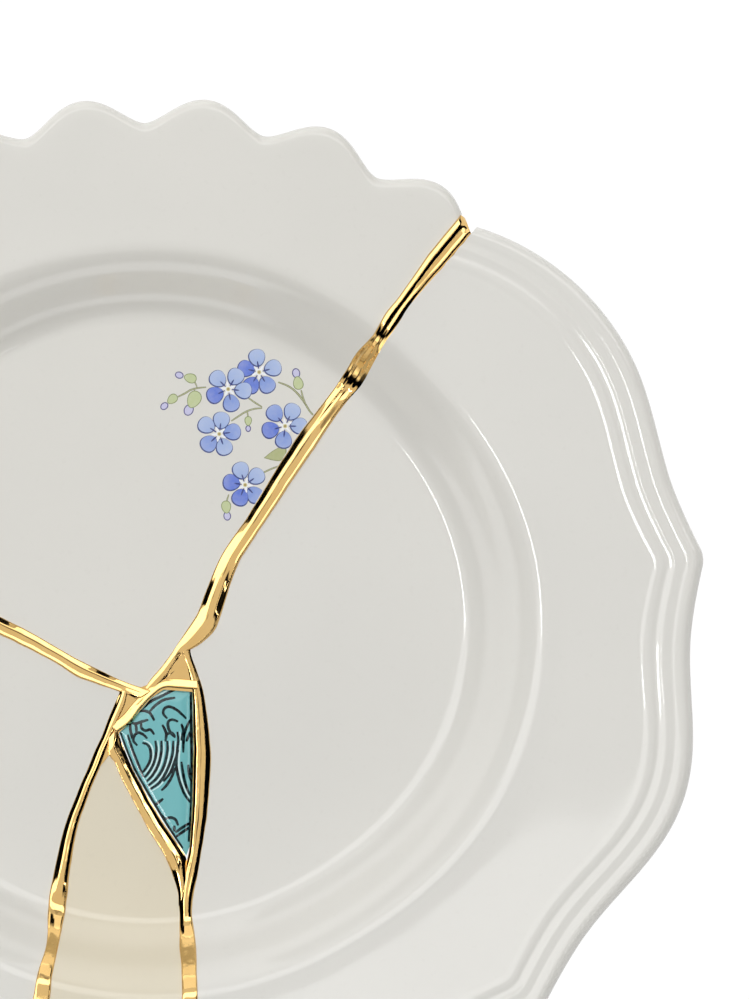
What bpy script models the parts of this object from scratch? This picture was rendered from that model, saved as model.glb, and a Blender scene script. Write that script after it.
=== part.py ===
"""Kintsugi fruit plate: five porcelain shards from unlike plates, joined by one gold seam.

Metres, +Z up. The origin lies on the foot ring's axis, at the height that the foot rests on.
In plan, seen from straight above, +X is to the right and +Y is up the picture. Azimuths are
in degrees from +X towards +Y.
"""
import math

import bmesh
import bpy
from mathutils import Vector
from mathutils.geometry import delaunay_2d_cdt

# The well and the body, common to every plate that gave a shard
THICKNESS = 0.0032
FLOOR_RADIUS = 0.0510
WALL_RUN = 0.0145
WELL_DEPTH = 0.0100
RIM_SLOPE = 0.150
RIM_BLEND = 0.0030
WALL_LEAN = 0.0013

# The well swells a little on the right: its wall starts and ends further out there
SWELL_FLOOR = 0.0017
SWELL_WALL = 0.0015
SWELL_AZIMUTH = -8.0
SWELL_SPREAD = 55.0

# The foot ring
FOOT_RADIUS = 0.0500
FOOT_WIDTH = 0.0035
FOOT_HEIGHT = 0.0026
FOOT_DRAFT = 0.0006

# Scalloped rim: even round lobes with narrow valleys
SCALLOPS = 26
SCALLOP_VALLEY_RADIUS = 0.0854
SCALLOP_DEPTH = 0.0045
SCALLOP_VALLEY_AZIMUTH = 62.9
SCALLOP_FULLNESS = 0.85
SCALLOP_COLUMNS = 8

# Lobed rim: azimuth, radius and kind of each turning point of the outline, from one broken
# end to the other. A cusp is a small point between two hollows.
LOBED_RIM = (
    (-86.0, 0.0876, "end"),
    (-65.0, 0.0935, "round"),
    (-54.0, 0.0921, "round"),
    (-45.0, 0.0950, "cusp"),
    (-36.0, 0.0923, "round"),
    (-18.5, 0.0967, "round"),
    (-2.5, 0.0929, "round"),
    (6.5, 0.0959, "cusp"),
    (16.0, 0.0925, "round"),
    (30.0, 0.0943, "round"),
    (51.0, 0.0873, "end"),
)
CUSP_POWER = 1.8
END_POWER = 2.0
LOBED_COLUMN_DEGREES = 2.6

# Moulding that follows the lobed outline: distance in from the edge, height over the rim
MOULDING = (
    (0.0094, 0.0),
    (0.0078, 0.0006),
    (0.0063, -0.0003),
    (0.0050, 0.0006),
    (0.0034, 0.0000),
    (0.0021, 0.0005),
)

# The joint: the gap at each shard's side, and the gold's chamfered bead above the glaze
SEAM_GAP = 0.0003
BEAD_CHAMFER = 0.0006
BEAD_HEIGHT = 0.0009
BEAD_UNDERSIDE = 0.0004
SEAM_PROUD = 0.0004

# Break lines, drawn from the plate's axis in units of this length. A seam lists its middle
# line and its width from the joint's inner end out past the rim: x, y, width.
BREAK_LINE_UNIT = 0.001
UPPER_RIGHT_SEAM = (
    (7.13, -3.44, 3.1), (9.79, 0.0, 4.0), (11.0, 3.44, 3.8), (13.66, 10.31, 3.3),
    (18.13, 17.18, 3.1), (22.51, 24.05, 3.4), (27.06, 30.93, 3.6), (32.04, 37.8, 3.1),
    (34.79, 41.24, 3.7), (36.77, 44.67, 3.6), (39.26, 48.11, 2.6), (41.41, 51.55, 2.9),
    (43.9, 54.98, 2.5), (49.23, 61.86, 3.4), (54.64, 68.3, 3.6), (63.0, 77.9, 3.6),
)
LEFT_SEAM = (
    (-5.15, -11.43, 2.0), (-12.03, -8.59, 2.8), (-15.46, -6.53, 2.5), (-22.34, -2.75, 2.8),
    (-25.77, -1.12, 2.9), (-41.0, 6.4, 3.0), (-59.0, 16.4, 3.0), (-78.0, 26.2, 3.2),
    (-95.0, 33.5, 3.4),
)
LOWER_LEFT_SEAM = (
    (-11.31, -29.21, 2.0), (-13.75, -36.08, 2.3), (-15.12, -42.96, 2.7), (-16.01, -48.97, 3.1),
    (-16.79, -55.84, 2.1), (-18.04, -61.0, 2.6), (-18.64, -65.12, 2.9), (-20.6, -74.0, 3.0),
    (-22.2, -83.0, 3.0), (-23.8, -97.0, 3.3),
)
LOWER_RIGHT_SEAM = (
    (6.1, -48.11, 2.5), (6.1, -50.69, 2.2), (6.44, -55.84, 2.9), (6.7, -60.0, 2.7),
    (6.9, -70.0, 2.8), (6.3, -79.0, 2.7), (6.4, -97.0, 3.0),
)

# Corners where the seams meet round the teal shard: x, y
SCALLOPED_CORNER = ((3.44, -6.01), (1.72, -8.25), (0.0, -10.31), (-1.4, -11.6))
LOBED_CORNER = (
    (8.08, -44.67), (8.76, -40.38), (9.45, -36.08), (9.97, -31.79), (10.31, -27.49),
    (10.48, -24.05), (10.31, -20.62), (9.79, -16.32), (9.11, -12.03), (8.08, -8.93),
)
LEFT_CORNER = ((-6.01, -14.09), (-7.22, -16.84), (-8.08, -19.76), (-9.45, -22.34), (-11.0, -25.77))
CREAM_CORNER = (
    (-8.59, -25.43), (-7.22, -23.2), (-6.01, -24.4), (-4.98, -27.49), (-3.44, -30.07),
    (-2.06, -32.99), (-0.34, -36.08), (1.37, -38.66), (2.58, -40.89), (3.78, -43.81),
)
TEAL_OUTLINE = (
    (7.22, -12.03), (2.23, -11.86), (0.4, -13.2), (-1.72, -15.46), (-3.26, -17.53),
    (-5.5, -19.07), (-4.3, -22.34), (-2.92, -25.77), (-0.52, -30.07), (2.58, -35.22),
    (4.3, -37.8), (6.19, -40.55), (6.87, -38.66), (7.2, -33.0), (7.4, -24.0),
)

# Modelling values: how finely the sections are cut, and how far the cutters reach
WALL_STATIONS = (0.0, 0.25, 0.5, 0.75, 1.0)
UNDER_STATIONS = (1.0, 0.6, 0.3, 0.0)
EDGE_STATIONS = (90.0, 40.0, 0.0, -90.0)
PLAIN_COLUMN_DEGREES = 3.5
SPARE_COLUMN_DEGREES = 18.0
COLUMN_MARGIN_DEGREES = 6.0
SHORTEST_RUN = 0.0015
MITRE_LIMIT = 0.5
RIM_SEARCH_STEPS = 30
MERGE_DISTANCE = 1e-6
LOWEST_AZIMUTH = 270.0
CUTTER_REACH = 0.130
CUTTER_STEP_DEGREES = 15.0
CUTTER_MARGIN = 0.010
SMOOTH_DEGREES = 32.0


def clear_scene():
    for item in list(bpy.data.objects):
        bpy.data.objects.remove(item, do_unlink=True)


def material(name, colour, roughness, metallic=0.0):
    made = bpy.data.materials.new(name)
    made.use_nodes = True
    shader = made.node_tree.nodes["Principled BSDF"]
    shader.inputs["Base Color"].default_value = (*colour, 1.0)
    shader.inputs["Roughness"].default_value = roughness
    shader.inputs["Metallic"].default_value = metallic
    return made


# Heights of the plate's two faces

def swell(azimuth):
    """1 where the well bulges most, falling to 0 at the ends of the bulge."""
    away = abs((azimuth - SWELL_AZIMUTH + 180.0) % 360.0 - 180.0)
    share = min(away / SWELL_SPREAD, 1.0)
    return 1.0 - math.sin(math.radians(90.0 * share)) ** 3


def wall_radii(azimuth):
    """Where the well's wall leaves the floor, and where it meets the rim."""
    bulge = swell(azimuth)
    start = FLOOR_RADIUS + SWELL_FLOOR * bulge
    return start, start + WALL_RUN + SWELL_WALL * bulge


def top_height(radius, azimuth):
    """Eating surface: flat floor, S-shaped wall, gently rising rim."""
    start, end = wall_radii(azimuth)
    share = min(max((radius - start) / (end - start), 0.0), 1.0)
    wall = WELL_DEPTH * share * share * (3.0 - 2.0 * share)
    beyond = max(radius - end, 0.0)
    rim = RIM_SLOPE * beyond * beyond / (beyond + RIM_BLEND)
    return FOOT_HEIGHT + THICKNESS + wall + rim


def under_height(radius, azimuth):
    """Underside without the foot ring: the wall's outer face lies a little further out."""
    return top_height(radius - WALL_LEAN, azimuth) - THICKNESS


def foot_section():
    """Foot ring from outside to inside: radius, height."""
    inner = FOOT_RADIUS - FOOT_WIDTH
    return (
        (FOOT_RADIUS + FOOT_DRAFT, FOOT_HEIGHT),
        (FOOT_RADIUS, 0.0),
        (inner, 0.0),
        (inner - FOOT_DRAFT, FOOT_HEIGHT),
    )


def base_height(radius, azimuth):
    """Underside with the foot ring."""
    section_points = foot_section()
    if not section_points[-1][0] < radius < section_points[0][0]:
        return under_height(radius, azimuth)
    for (outer, high), (inner, low) in zip(section_points, section_points[1:]):
        if radius >= inner:
            return low + (high - low) * (radius - inner) / (outer - inner)
    return FOOT_HEIGHT


# Outlines of the rims

def scalloped_outline(azimuth):
    pitch = 360.0 / SCALLOPS
    half = pitch / 2.0
    from_valley = abs((azimuth - SCALLOP_VALLEY_AZIMUTH + half) % pitch - half)
    share = (from_valley / half) ** SCALLOP_FULLNESS
    return SCALLOP_VALLEY_RADIUS + SCALLOP_DEPTH * (1.0 - math.cos(math.pi * share)) / 2.0


def ease(share, before, after):
    """Way from one turning point of the lobed outline to the next, 0 to 1."""
    power = {"cusp": CUSP_POWER, "end": END_POWER}
    if after in power:
        return share ** power[after]
    if before in power:
        return 1.0 - (1.0 - share) ** power[before]
    return (1.0 - math.cos(math.pi * share)) / 2.0


def lobed_outline(azimuth):
    turn = (azimuth + 180.0) % 360.0 - 180.0
    if turn <= LOBED_RIM[0][0]:
        return LOBED_RIM[0][1]
    for (start, low, before), (end, high, after) in zip(LOBED_RIM, LOBED_RIM[1:]):
        if turn <= end:
            return low + (high - low) * ease((turn - start) / (end - start), before, after)
    return LOBED_RIM[-1][1]


def mirrored_outline(azimuth):
    """The lobed outline, turned over from right to left, for the rim that is not moulded."""
    return lobed_outline(180.0 - azimuth)


def cream_outline(_azimuth):
    """Plain round rim that reaches as far down as the scallops reach up."""
    return max(scalloped_outline(turn) * math.sin(math.radians(turn))
               for turn in scalloped_columns())


# Columns: the azimuths at which each plate's section is placed

def spread(start, end, widest):
    """Even steps from start towards end, leaving out the end itself."""
    count = max(1, math.ceil((end - start) / widest - 1e-6))
    return [start + (end - start) * index / count for index in range(count)]


def exit_azimuth(seam):
    """Where a seam runs out past the rim."""
    x, y, _ = seam[-1]
    return math.degrees(math.atan2(y, x)) % 360.0


def column_range(name):
    """Azimuths that a shard spans between its two seams, and a margin."""
    low = exit_azimuth(SHARDS[name]["starts"])
    high = exit_azimuth(SHARDS[name]["ends"])
    return low - COLUMN_MARGIN_DEGREES, high + COLUMN_MARGIN_DEGREES


def closed_columns(fine):
    """Fine columns over a shard, and spare ones round the part that is cut away."""
    return fine + spread(fine[-1], fine[0] + 360.0, SPARE_COLUMN_DEGREES)[1:]


def scalloped_columns():
    low, high = column_range("scalloped_shard")
    step = 360.0 / SCALLOPS / SCALLOP_COLUMNS
    first = math.floor((low - SCALLOP_VALLEY_AZIMUTH) / step)
    last = math.ceil((high - SCALLOP_VALLEY_AZIMUTH) / step)
    return [SCALLOP_VALLEY_AZIMUTH + step * index for index in range(first, last + 1)]


def lobed_columns():
    turns = [LOBED_RIM[0][0] - COLUMN_MARGIN_DEGREES]
    for (start, _, _), (end, _, _) in zip(LOBED_RIM, LOBED_RIM[1:]):
        turns += spread(start, end, LOBED_COLUMN_DEGREES)
    return turns + [LOBED_RIM[-1][0], LOBED_RIM[-1][0] + COLUMN_MARGIN_DEGREES]


def mirrored_columns():
    low, high = column_range("left_shard")
    turns = sorted(180.0 - turn for turn in lobed_columns())
    return [turn for turn in turns if low <= turn <= high]


def cream_columns():
    low, high = column_range("cream_shard")
    return (spread(low, LOWEST_AZIMUTH, PLAIN_COLUMN_DEGREES)
            + spread(LOWEST_AZIMUTH, high, PLAIN_COLUMN_DEGREES) + [high])


# Break lines

def seam_side(seam, side):
    """One side of a seam as points in metres, from its inner end outwards.

    side is 1 for the side on the left when looking outwards, and -1 for the right.
    """
    points = [Vector((x * BREAK_LINE_UNIT, y * BREAK_LINE_UNIT)) for x, y, _ in seam]
    made = []
    for index, point in enumerate(points):
        ahead = points[min(index + 1, len(points) - 1)]
        behind = points[max(index - 1, 0)]
        along = (ahead - behind).normalized()
        across = Vector((-along.y, along.x))
        made.append(point + across * (side * seam[index][2] * BREAK_LINE_UNIT / 2.0))
    return made


def corner(points):
    return [Vector((x * BREAK_LINE_UNIT, y * BREAK_LINE_UNIT)) for x, y in points]


def broken_edge(shard):
    """A shard's broken edge: in along its first seam, round the joint, out along its second.

    Both ends run straight on, out past every rim.
    """
    edge = (seam_side(shard["starts"], 1)[::-1] + corner(shard["corner"])
            + seam_side(shard["ends"], -1))
    edge[0] += (edge[0] - edge[1]).normalized() * CUTTER_REACH
    edge[-1] += (edge[-1] - edge[-2]).normalized() * CUTTER_REACH
    return edge


def azimuth_of(point):
    return math.degrees(math.atan2(point.y, point.x))


def polar(radius, azimuth, height=None):
    turn = math.radians(azimuth)
    if height is None:
        return Vector((radius * math.cos(turn), radius * math.sin(turn)))
    return Vector((radius * math.cos(turn), radius * math.sin(turn), height))


def inset(loop, distance):
    """Closed loop moved to its left by a distance, with mitred corners."""
    moved = []
    for index, point in enumerate(loop):
        came = (point - loop[index - 1]).normalized()
        goes = (loop[(index + 1) % len(loop)] - point).normalized()
        first = Vector((-came.y, came.x))
        second = Vector((-goes.y, goes.x))
        mitre = (first + second) / max(1.0 + first.dot(second), MITRE_LIMIT)
        moved.append(point + mitre * distance)
    return moved


# The porcelain shards

SHARDS = {
    "scalloped_shard": {
        "starts": UPPER_RIGHT_SEAM, "corner": SCALLOPED_CORNER, "ends": LEFT_SEAM,
        "outline": scalloped_outline, "columns": scalloped_columns, "moulding": (),
        "colour": (0.80, 0.79, 0.76), "roughness": 0.12,
    },
    "left_shard": {
        "starts": LEFT_SEAM, "corner": LEFT_CORNER, "ends": LOWER_LEFT_SEAM,
        "outline": mirrored_outline, "columns": mirrored_columns, "moulding": (),
        "colour": (0.79, 0.78, 0.75), "roughness": 0.12,
    },
    "cream_shard": {
        "starts": LOWER_LEFT_SEAM, "corner": CREAM_CORNER, "ends": LOWER_RIGHT_SEAM,
        "outline": cream_outline, "columns": cream_columns, "moulding": (),
        "colour": (0.78, 0.73, 0.60), "roughness": 0.14,
    },
    "lobed_shard": {
        "starts": LOWER_RIGHT_SEAM, "corner": LOBED_CORNER, "ends": UPPER_RIGHT_SEAM,
        "outline": lobed_outline, "columns": lobed_columns, "moulding": MOULDING,
        "colour": (0.81, 0.80, 0.77), "roughness": 0.12,
    },
}


def section(azimuth, outline, moulding):
    """Section of a plate from its floor, over the rim, to the inside of the foot: radius, height."""
    rim = outline(azimuth)
    start, end = wall_radii(azimuth)
    points = []
    for share in WALL_STATIONS:
        radius = start + (end - start) * share
        points.append((radius, top_height(radius, azimuth)))
    plain_end = rim - (moulding[0][0] if moulding else THICKNESS / 2.0)
    middle = (end + plain_end) / 2.0
    points.append((middle, top_height(middle, azimuth)))
    for distance, lift in moulding:
        points.append((rim - distance, top_height(rim - distance, azimuth) + lift))
    half = THICKNESS / 2.0
    edge_height = top_height(rim - half, azimuth) - half
    for turn in EDGE_STATIONS:
        across = half * math.cos(math.radians(turn))
        points.append((rim - half + across, edge_height + half * math.sin(math.radians(turn))))
    points.append((middle, under_height(middle, azimuth)))
    for share in UNDER_STATIONS:
        radius = start + (end - start) * share + WALL_LEAN
        points.append((radius, under_height(radius, azimuth)))
    points.extend(foot_section())
    return points


def new_object(name, bm):
    bmesh.ops.recalc_face_normals(bm, faces=bm.faces[:])
    mesh = bpy.data.meshes.new(name)
    bm.to_mesh(mesh)
    bm.free()
    made = bpy.data.objects.new(name, mesh)
    bpy.context.scene.collection.objects.link(made)
    return made


def plate_blank(name, columns, outline, moulding):
    """A whole unbroken plate, from which the shard is cut."""
    bm = bmesh.new()
    rings = []
    for azimuth in closed_columns(columns):
        points = section(azimuth, outline, moulding)
        rings.append([bm.verts.new(polar(radius, azimuth, height)) for radius, height in points])
    for here, there in zip(rings, rings[1:] + rings[:1]):
        for index in range(len(here) - 1):
            bm.faces.new((here[index], there[index], there[index + 1], here[index + 1]))
    bm.faces.new([ring[0] for ring in rings])
    bm.faces.new([ring[-1] for ring in reversed(rings)])
    return new_object(name, bm)


def upright_slab(name, outline, bottom, top):
    """Straight-sided body over a plan outline."""
    bm = bmesh.new()
    base = bm.faces.new([bm.verts.new((point.x, point.y, bottom)) for point in outline])
    raised = bmesh.ops.extrude_face_region(bm, geom=[base])["geom"]
    lifted = [item for item in raised if isinstance(item, bmesh.types.BMVert)]
    bmesh.ops.translate(bm, verts=lifted, vec=(0.0, 0.0, top - bottom))
    return new_object(name, bm)


def region_cutter(name, outline):
    """Slab taller than the plate, that keeps what lies inside it."""
    top = top_height(CUTTER_REACH, 0.0) + CUTTER_MARGIN
    cutter = upright_slab(name, outline, -CUTTER_MARGIN, top)
    cutter.hide_render = True
    cutter.display_type = "WIRE"
    return cutter


def shard_region(edge):
    """Plan region of a shard: its broken edge, closed round the outside of the rim."""
    start = azimuth_of(edge[0])
    end = azimuth_of(edge[-1])
    if end < start:
        end += 360.0
    steps = spread(start, end, CUTTER_STEP_DEGREES)[1:]
    return edge + [polar(edge[0].length, turn) for turn in reversed(steps)]


def porcelain(name, colour, roughness, blank, cutter):
    blank.data.materials.append(material(name, colour, roughness))
    cut = blank.modifiers.new("Break", "BOOLEAN")
    cut.operation = "INTERSECT"
    cut.solver = "EXACT"
    cut.object = cutter
    blank.data.shade_smooth()
    blank.data.set_sharp_from_angle(angle=math.radians(SMOOTH_DEGREES))


def rim_shards():
    for name, shard in SHARDS.items():
        blank = plate_blank(name, shard["columns"](), shard["outline"], shard["moulding"])
        cutter = region_cutter(name + "_cutter", shard_region(broken_edge(shard)))
        porcelain(name, shard["colour"], shard["roughness"], blank, cutter)


def teal_shard():
    """Small triangle that lies wholly in the flat floor, so it is a plain slab."""
    outline = corner(TEAL_OUTLINE)
    made = upright_slab("teal_shard", outline, FOOT_HEIGHT, FOOT_HEIGHT + THICKNESS)
    made.data.materials.append(material("teal_shard", (0.18, 0.48, 0.52), 0.12))


# The gold seam

def station_radii(azimuth):
    """Radii where either face of the plate turns, at which the gold takes a point too."""
    start, end = wall_radii(azimuth)
    walls = [start + (end - start) * share for share in WALL_STATIONS]
    return walls + [radius for radius, _ in foot_section()]


def with_stations(loop):
    """The loop with a point added wherever it crosses one of the station radii."""
    made = []
    for index, point in enumerate(loop):
        made.append(point)
        after = loop[(index + 1) % len(loop)]
        shares = []
        here = station_radii(azimuth_of(point))
        there = station_radii(azimuth_of(after))
        for first, second in zip(here, there):
            gap, end_gap = point.length - first, after.length - second
            if gap * end_gap < 0.0:
                shares.append(gap / (gap - end_gap))
        for share in sorted(shares):
            station = point.lerp(after, share)
            if (station - made[-1]).length > MERGE_DISTANCE:
                made.append(station)
    return made


def clip_at_rim(edge, first_rims, last_rims):
    """Both ends of a broken edge cut where the gold ends, just proud of the lower rim."""
    def limit(point, rims):
        return min(rim(azimuth_of(point)) for rim in rims) + SEAM_PROUD

    def cut(points, rims):
        outside = [index for index, point in enumerate(points) if point.length > limit(point, rims)]
        low, high = points[outside[0] - 1], points[outside[0]]
        for _ in range(RIM_SEARCH_STEPS):
            middle = (low + high) / 2.0
            if middle.length > limit(middle, rims):
                high = middle
            else:
                low = middle
        kept = points[:outside[0]]
        if (low - kept[-1]).length < SHORTEST_RUN:
            kept.pop()
        return kept + [low]

    half = len(edge) // 2
    return cut(edge[:half + 1][::-1], first_rims)[::-1][:-1] + cut(edge[half:], last_rims)


def gold_outline():
    """Plan outline of the gold, counter-clockwise, on the break lines."""
    shards = list(SHARDS.values())
    loop = []
    for index, shard in enumerate(shards):
        before = shards[index - 1]["outline"]
        here = shard["outline"]
        after = shards[(index + 1) % len(shards)]["outline"]
        loop += clip_at_rim(broken_edge(shard), (before, here), (here, after))
    return loop


def distance_to(point, loops):
    nearest = math.inf
    for loop in loops:
        for start, end in zip(loop, loop[1:] + loop[:1]):
            along = end - start
            share = min(max((point - start).dot(along) / along.length_squared, 0.0), 1.0)
            nearest = min(nearest, (point - start - along * share).length)
    return nearest


def inside(point, loop):
    found = False
    for start, end in zip(loop, loop[1:] + loop[:1]):
        if (start.y > point.y) != (end.y > point.y):
            crossing = start.x + (point.y - start.y) * (end.x - start.x) / (end.y - start.y)
            if point.x < crossing:
                found = not found
    return found


def gold_seam():
    """One connected seam: a bead above and below, filling the joints through the wall."""
    outer = with_stations(inset(gold_outline(), SEAM_GAP))
    hole = inset(corner(TEAL_OUTLINE)[::-1], SEAM_GAP)
    crowns = [inset(outer, BEAD_CHAMFER), inset(hole, BEAD_CHAMFER)]
    points, links = [], []
    for loop in (outer, hole, *crowns):
        first = len(points)
        points += loop
        links += [(first + index, first + (index + 1) % len(loop)) for index in range(len(loop))]
    flat, _, triangles, _, _, _ = delaunay_2d_cdt(points, links, [], 1, MERGE_DISTANCE)
    kept = []
    for triangle in triangles:
        centre = sum((flat[index] for index in triangle), Vector((0.0, 0.0))) / 3.0
        if inside(centre, outer) and not inside(centre, hole):
            kept.append(triangle)

    bm = bmesh.new()
    above, below = {}, {}
    for index in sorted({index for triangle in kept for index in triangle}):
        point = flat[index]
        share = min(distance_to(point, (outer, hole)) / BEAD_CHAMFER, 1.0)
        radius, azimuth = point.length, azimuth_of(point)
        high = top_height(radius, azimuth) + BEAD_HEIGHT * share
        low = max(base_height(radius, azimuth) - BEAD_UNDERSIDE * share, 0.0)
        above[index] = bm.verts.new((point.x, point.y, high))
        below[index] = bm.verts.new((point.x, point.y, low))
    rim_links = set()
    for triangle in kept:
        bm.faces.new([above[index] for index in triangle])
        bm.faces.new([below[index] for index in reversed(triangle)])
        for start, end in zip(triangle, triangle[1:] + triangle[:1]):
            if (end, start) in rim_links:
                rim_links.remove((end, start))
            else:
                rim_links.add((start, end))
    for start, end in sorted(rim_links):
        bm.faces.new((below[start], below[end], above[end], above[start]))
    made = new_object("gold_seam", bm)
    made.data.materials.append(material("gold_seam", (0.86, 0.60, 0.24), 0.16, 1.0))
    made.data.shade_smooth()
    made.data.set_sharp_from_angle(angle=math.radians(SMOOTH_DEGREES))


clear_scene()
rim_shards()
teal_shard()
gold_seam()
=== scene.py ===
"""Kintsugi fruit plate: the visual model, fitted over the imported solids.

Metres, +Z up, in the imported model's frame. In plan +X is to the right and +Y is up the
picture. Azimuths are in degrees from +X towards +Y. Break lines, paint and gold are drawn
in millimetres from the plate's axis.
"""

import math

import bmesh
import bpy
import numpy as np
from mathutils import Matrix, Vector
from mathutils.geometry import delaunay_2d_cdt


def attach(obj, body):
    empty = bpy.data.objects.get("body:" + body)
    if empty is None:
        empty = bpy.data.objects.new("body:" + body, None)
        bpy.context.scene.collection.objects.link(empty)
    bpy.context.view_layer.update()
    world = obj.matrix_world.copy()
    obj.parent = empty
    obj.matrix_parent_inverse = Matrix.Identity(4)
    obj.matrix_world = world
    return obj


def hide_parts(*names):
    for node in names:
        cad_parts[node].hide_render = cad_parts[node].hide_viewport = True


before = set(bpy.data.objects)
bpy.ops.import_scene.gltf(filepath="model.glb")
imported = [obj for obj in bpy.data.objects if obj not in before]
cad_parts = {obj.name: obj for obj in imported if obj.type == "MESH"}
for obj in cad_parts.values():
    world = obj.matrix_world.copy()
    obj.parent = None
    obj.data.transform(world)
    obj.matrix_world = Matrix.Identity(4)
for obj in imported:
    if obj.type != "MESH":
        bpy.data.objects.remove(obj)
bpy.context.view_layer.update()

MM = 0.001

# Sizes shared with the solids
THICKNESS = 0.0032
FLOOR_RADIUS = 0.0510
WALL_RUN = 0.0145
WELL_DEPTH = 0.0100
RIM_SLOPE = 0.150
RIM_BLEND = 0.0030
WALL_LEAN = 0.0013
SWELL_FLOOR = 0.0017
SWELL_WALL = 0.0015
SWELL_AZIMUTH = -8.0
SWELL_SPREAD = 55.0
FOOT_RADIUS = 0.0500
FOOT_WIDTH = 0.0035
FOOT_HEIGHT = 0.0026
FOOT_DRAFT = 0.0006
SCALLOPS = 26
SCALLOP_VALLEY_RADIUS = 0.0854
SCALLOP_DEPTH = 0.0045
SCALLOP_VALLEY_AZIMUTH = 62.9
SCALLOP_FULLNESS = 0.85
OUTLINE_TRIM = 0.00006
LOBED_RIM = (
    (-86.0, 0.0876, "end"), (-65.0, 0.0935, "round"), (-54.0, 0.0921, "round"), (-45.0, 0.0950, "cusp"),
    (-36.0, 0.0923, "round"), (-18.5, 0.0967, "round"), (-2.5, 0.0929, "round"), (6.5, 0.0959, "cusp"),
    (16.0, 0.0925, "round"), (30.0, 0.0943, "round"), (51.0, 0.0873, "end"),
)
CUSP_POWER = 1.8
END_POWER = 2.0
CUSP_ROUNDING = 0.9
SEAM_PROUD = 0.0004
FLOOR_TOP = FOOT_HEIGHT + THICKNESS

# Moulding on the lobed rim: distance in from the edge, height over the plain rim
MOULDING = (
    (0.0096, 0.0), (0.0088, 0.00002), (0.0078, 0.00014), (0.0070, 0.00008), (0.0062, -0.00006),
    (0.0055, 0.00002), (0.0048, 0.00015), (0.0041, 0.00008), (0.0033, 0.0), (0.0026, 0.00008),
    (0.0020, 0.00012), (0.0016, 0.00011),
)

# Break lines: middle line and width from the joint's inner end out past the rim
UPPER_RIGHT_SEAM = (
    (7.13, -3.44, 3.1), (9.79, 0.0, 4.0), (11.0, 3.44, 3.8), (13.66, 10.31, 3.3),
    (18.13, 17.18, 3.1), (22.51, 24.05, 3.4), (27.06, 30.93, 3.6), (32.04, 37.8, 3.1),
    (34.79, 41.24, 3.7), (36.77, 44.67, 3.6), (39.26, 48.11, 2.6), (41.41, 51.55, 2.9),
    (43.9, 54.98, 2.5), (49.23, 61.86, 3.4), (54.64, 68.3, 3.6), (63.0, 77.9, 3.6),
)
LEFT_SEAM = (
    (-5.15, -11.43, 2.0), (-12.03, -8.59, 2.8), (-15.46, -6.53, 2.5), (-22.34, -2.75, 2.8),
    (-25.77, -1.12, 2.9), (-41.0, 6.4, 3.0), (-59.0, 16.4, 3.0), (-78.0, 26.2, 3.2),
    (-95.0, 33.5, 3.4),
)
LOWER_LEFT_SEAM = (
    (-11.31, -29.21, 2.0), (-13.75, -36.08, 2.3), (-15.12, -42.96, 2.7), (-16.01, -48.97, 3.1),
    (-16.79, -55.84, 2.1), (-18.04, -61.0, 2.6), (-18.64, -65.12, 2.9), (-20.6, -74.0, 3.0),
    (-22.2, -83.0, 3.0), (-23.8, -97.0, 3.3),
)
LOWER_RIGHT_SEAM = (
    (6.1, -48.11, 2.5), (6.1, -50.69, 2.2), (6.44, -55.84, 2.9), (6.7, -60.0, 2.7),
    (6.9, -70.0, 2.8), (6.3, -79.0, 2.7), (6.4, -97.0, 3.0),
)
SCALLOPED_CORNER = ((3.44, -6.01), (1.72, -8.25), (0.0, -10.31), (-1.4, -11.6))
LOBED_CORNER = (
    (8.08, -44.67), (8.76, -40.38), (9.45, -36.08), (9.97, -31.79), (10.31, -27.49),
    (10.48, -24.05), (10.31, -20.62), (9.79, -16.32), (9.11, -12.03), (8.08, -8.93),
)
LOBED_POINT = ((7.15, -6.9), (6.75, -5.75), (7.3, -5.1))
LEFT_CORNER = ((-6.01, -14.09), (-7.22, -16.84), (-8.08, -19.76), (-9.45, -22.34), (-11.0, -25.77))
CREAM_CORNER = (
    (-8.59, -25.43), (-7.22, -23.2), (-6.01, -24.4), (-4.98, -27.49), (-3.44, -30.07),
    (-2.06, -32.99), (-0.34, -36.08), (1.37, -38.66), (2.58, -40.89), (3.78, -43.81),
)
TEAL_OUTLINE = (
    (7.22, -12.03), (2.23, -11.86), (0.4, -13.2), (-1.72, -15.46), (-3.26, -17.53),
    (-5.5, -19.07), (-4.3, -22.34), (-2.92, -25.77), (-0.52, -30.07), (2.58, -35.22),
    (4.3, -37.8), (6.19, -40.55), (6.87, -38.66), (7.2, -33.0), (7.4, -24.0),
)

# How finely the visual model is cut
COLUMN_DEGREES = 0.34
SPARE_DEGREES = 8.0
COLUMN_MARGIN = 14.0
WALL_STEPS = 26
RIM_STEPS = 12
EDGE_STEPS = 16
UNDER_STEPS = 8
UNDER_WALL_STEPS = 14
FLOOR_BAND = 0.0006
MOULDING_STEP = 0.12
FOOT_LEAD = 0.0005
FOOT_ROUNDING = 0.0007
FOOT_ROUNDING_STEPS = 5
BREAK_STEP = 0.5
RUN_OUT = 130.0
TUCK = 0.12
CUTTER_STEP_DEGREES = 15.0
CUTTER_BOTTOM, CUTTER_TOP = -0.01, 0.05
SHARP_DEGREES = 38.0


# Heights of the plate's faces, for arrays of radii and azimuths

def swell(azimuth):
    away = np.abs((azimuth - SWELL_AZIMUTH + 180.0) % 360.0 - 180.0)
    return 1.0 - np.sin(np.radians(90.0 * np.minimum(away / SWELL_SPREAD, 1.0))) ** 3


def wall_radii(azimuth):
    bulge = swell(azimuth)
    start = FLOOR_RADIUS + SWELL_FLOOR * bulge
    return start, start + WALL_RUN + SWELL_WALL * bulge


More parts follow.
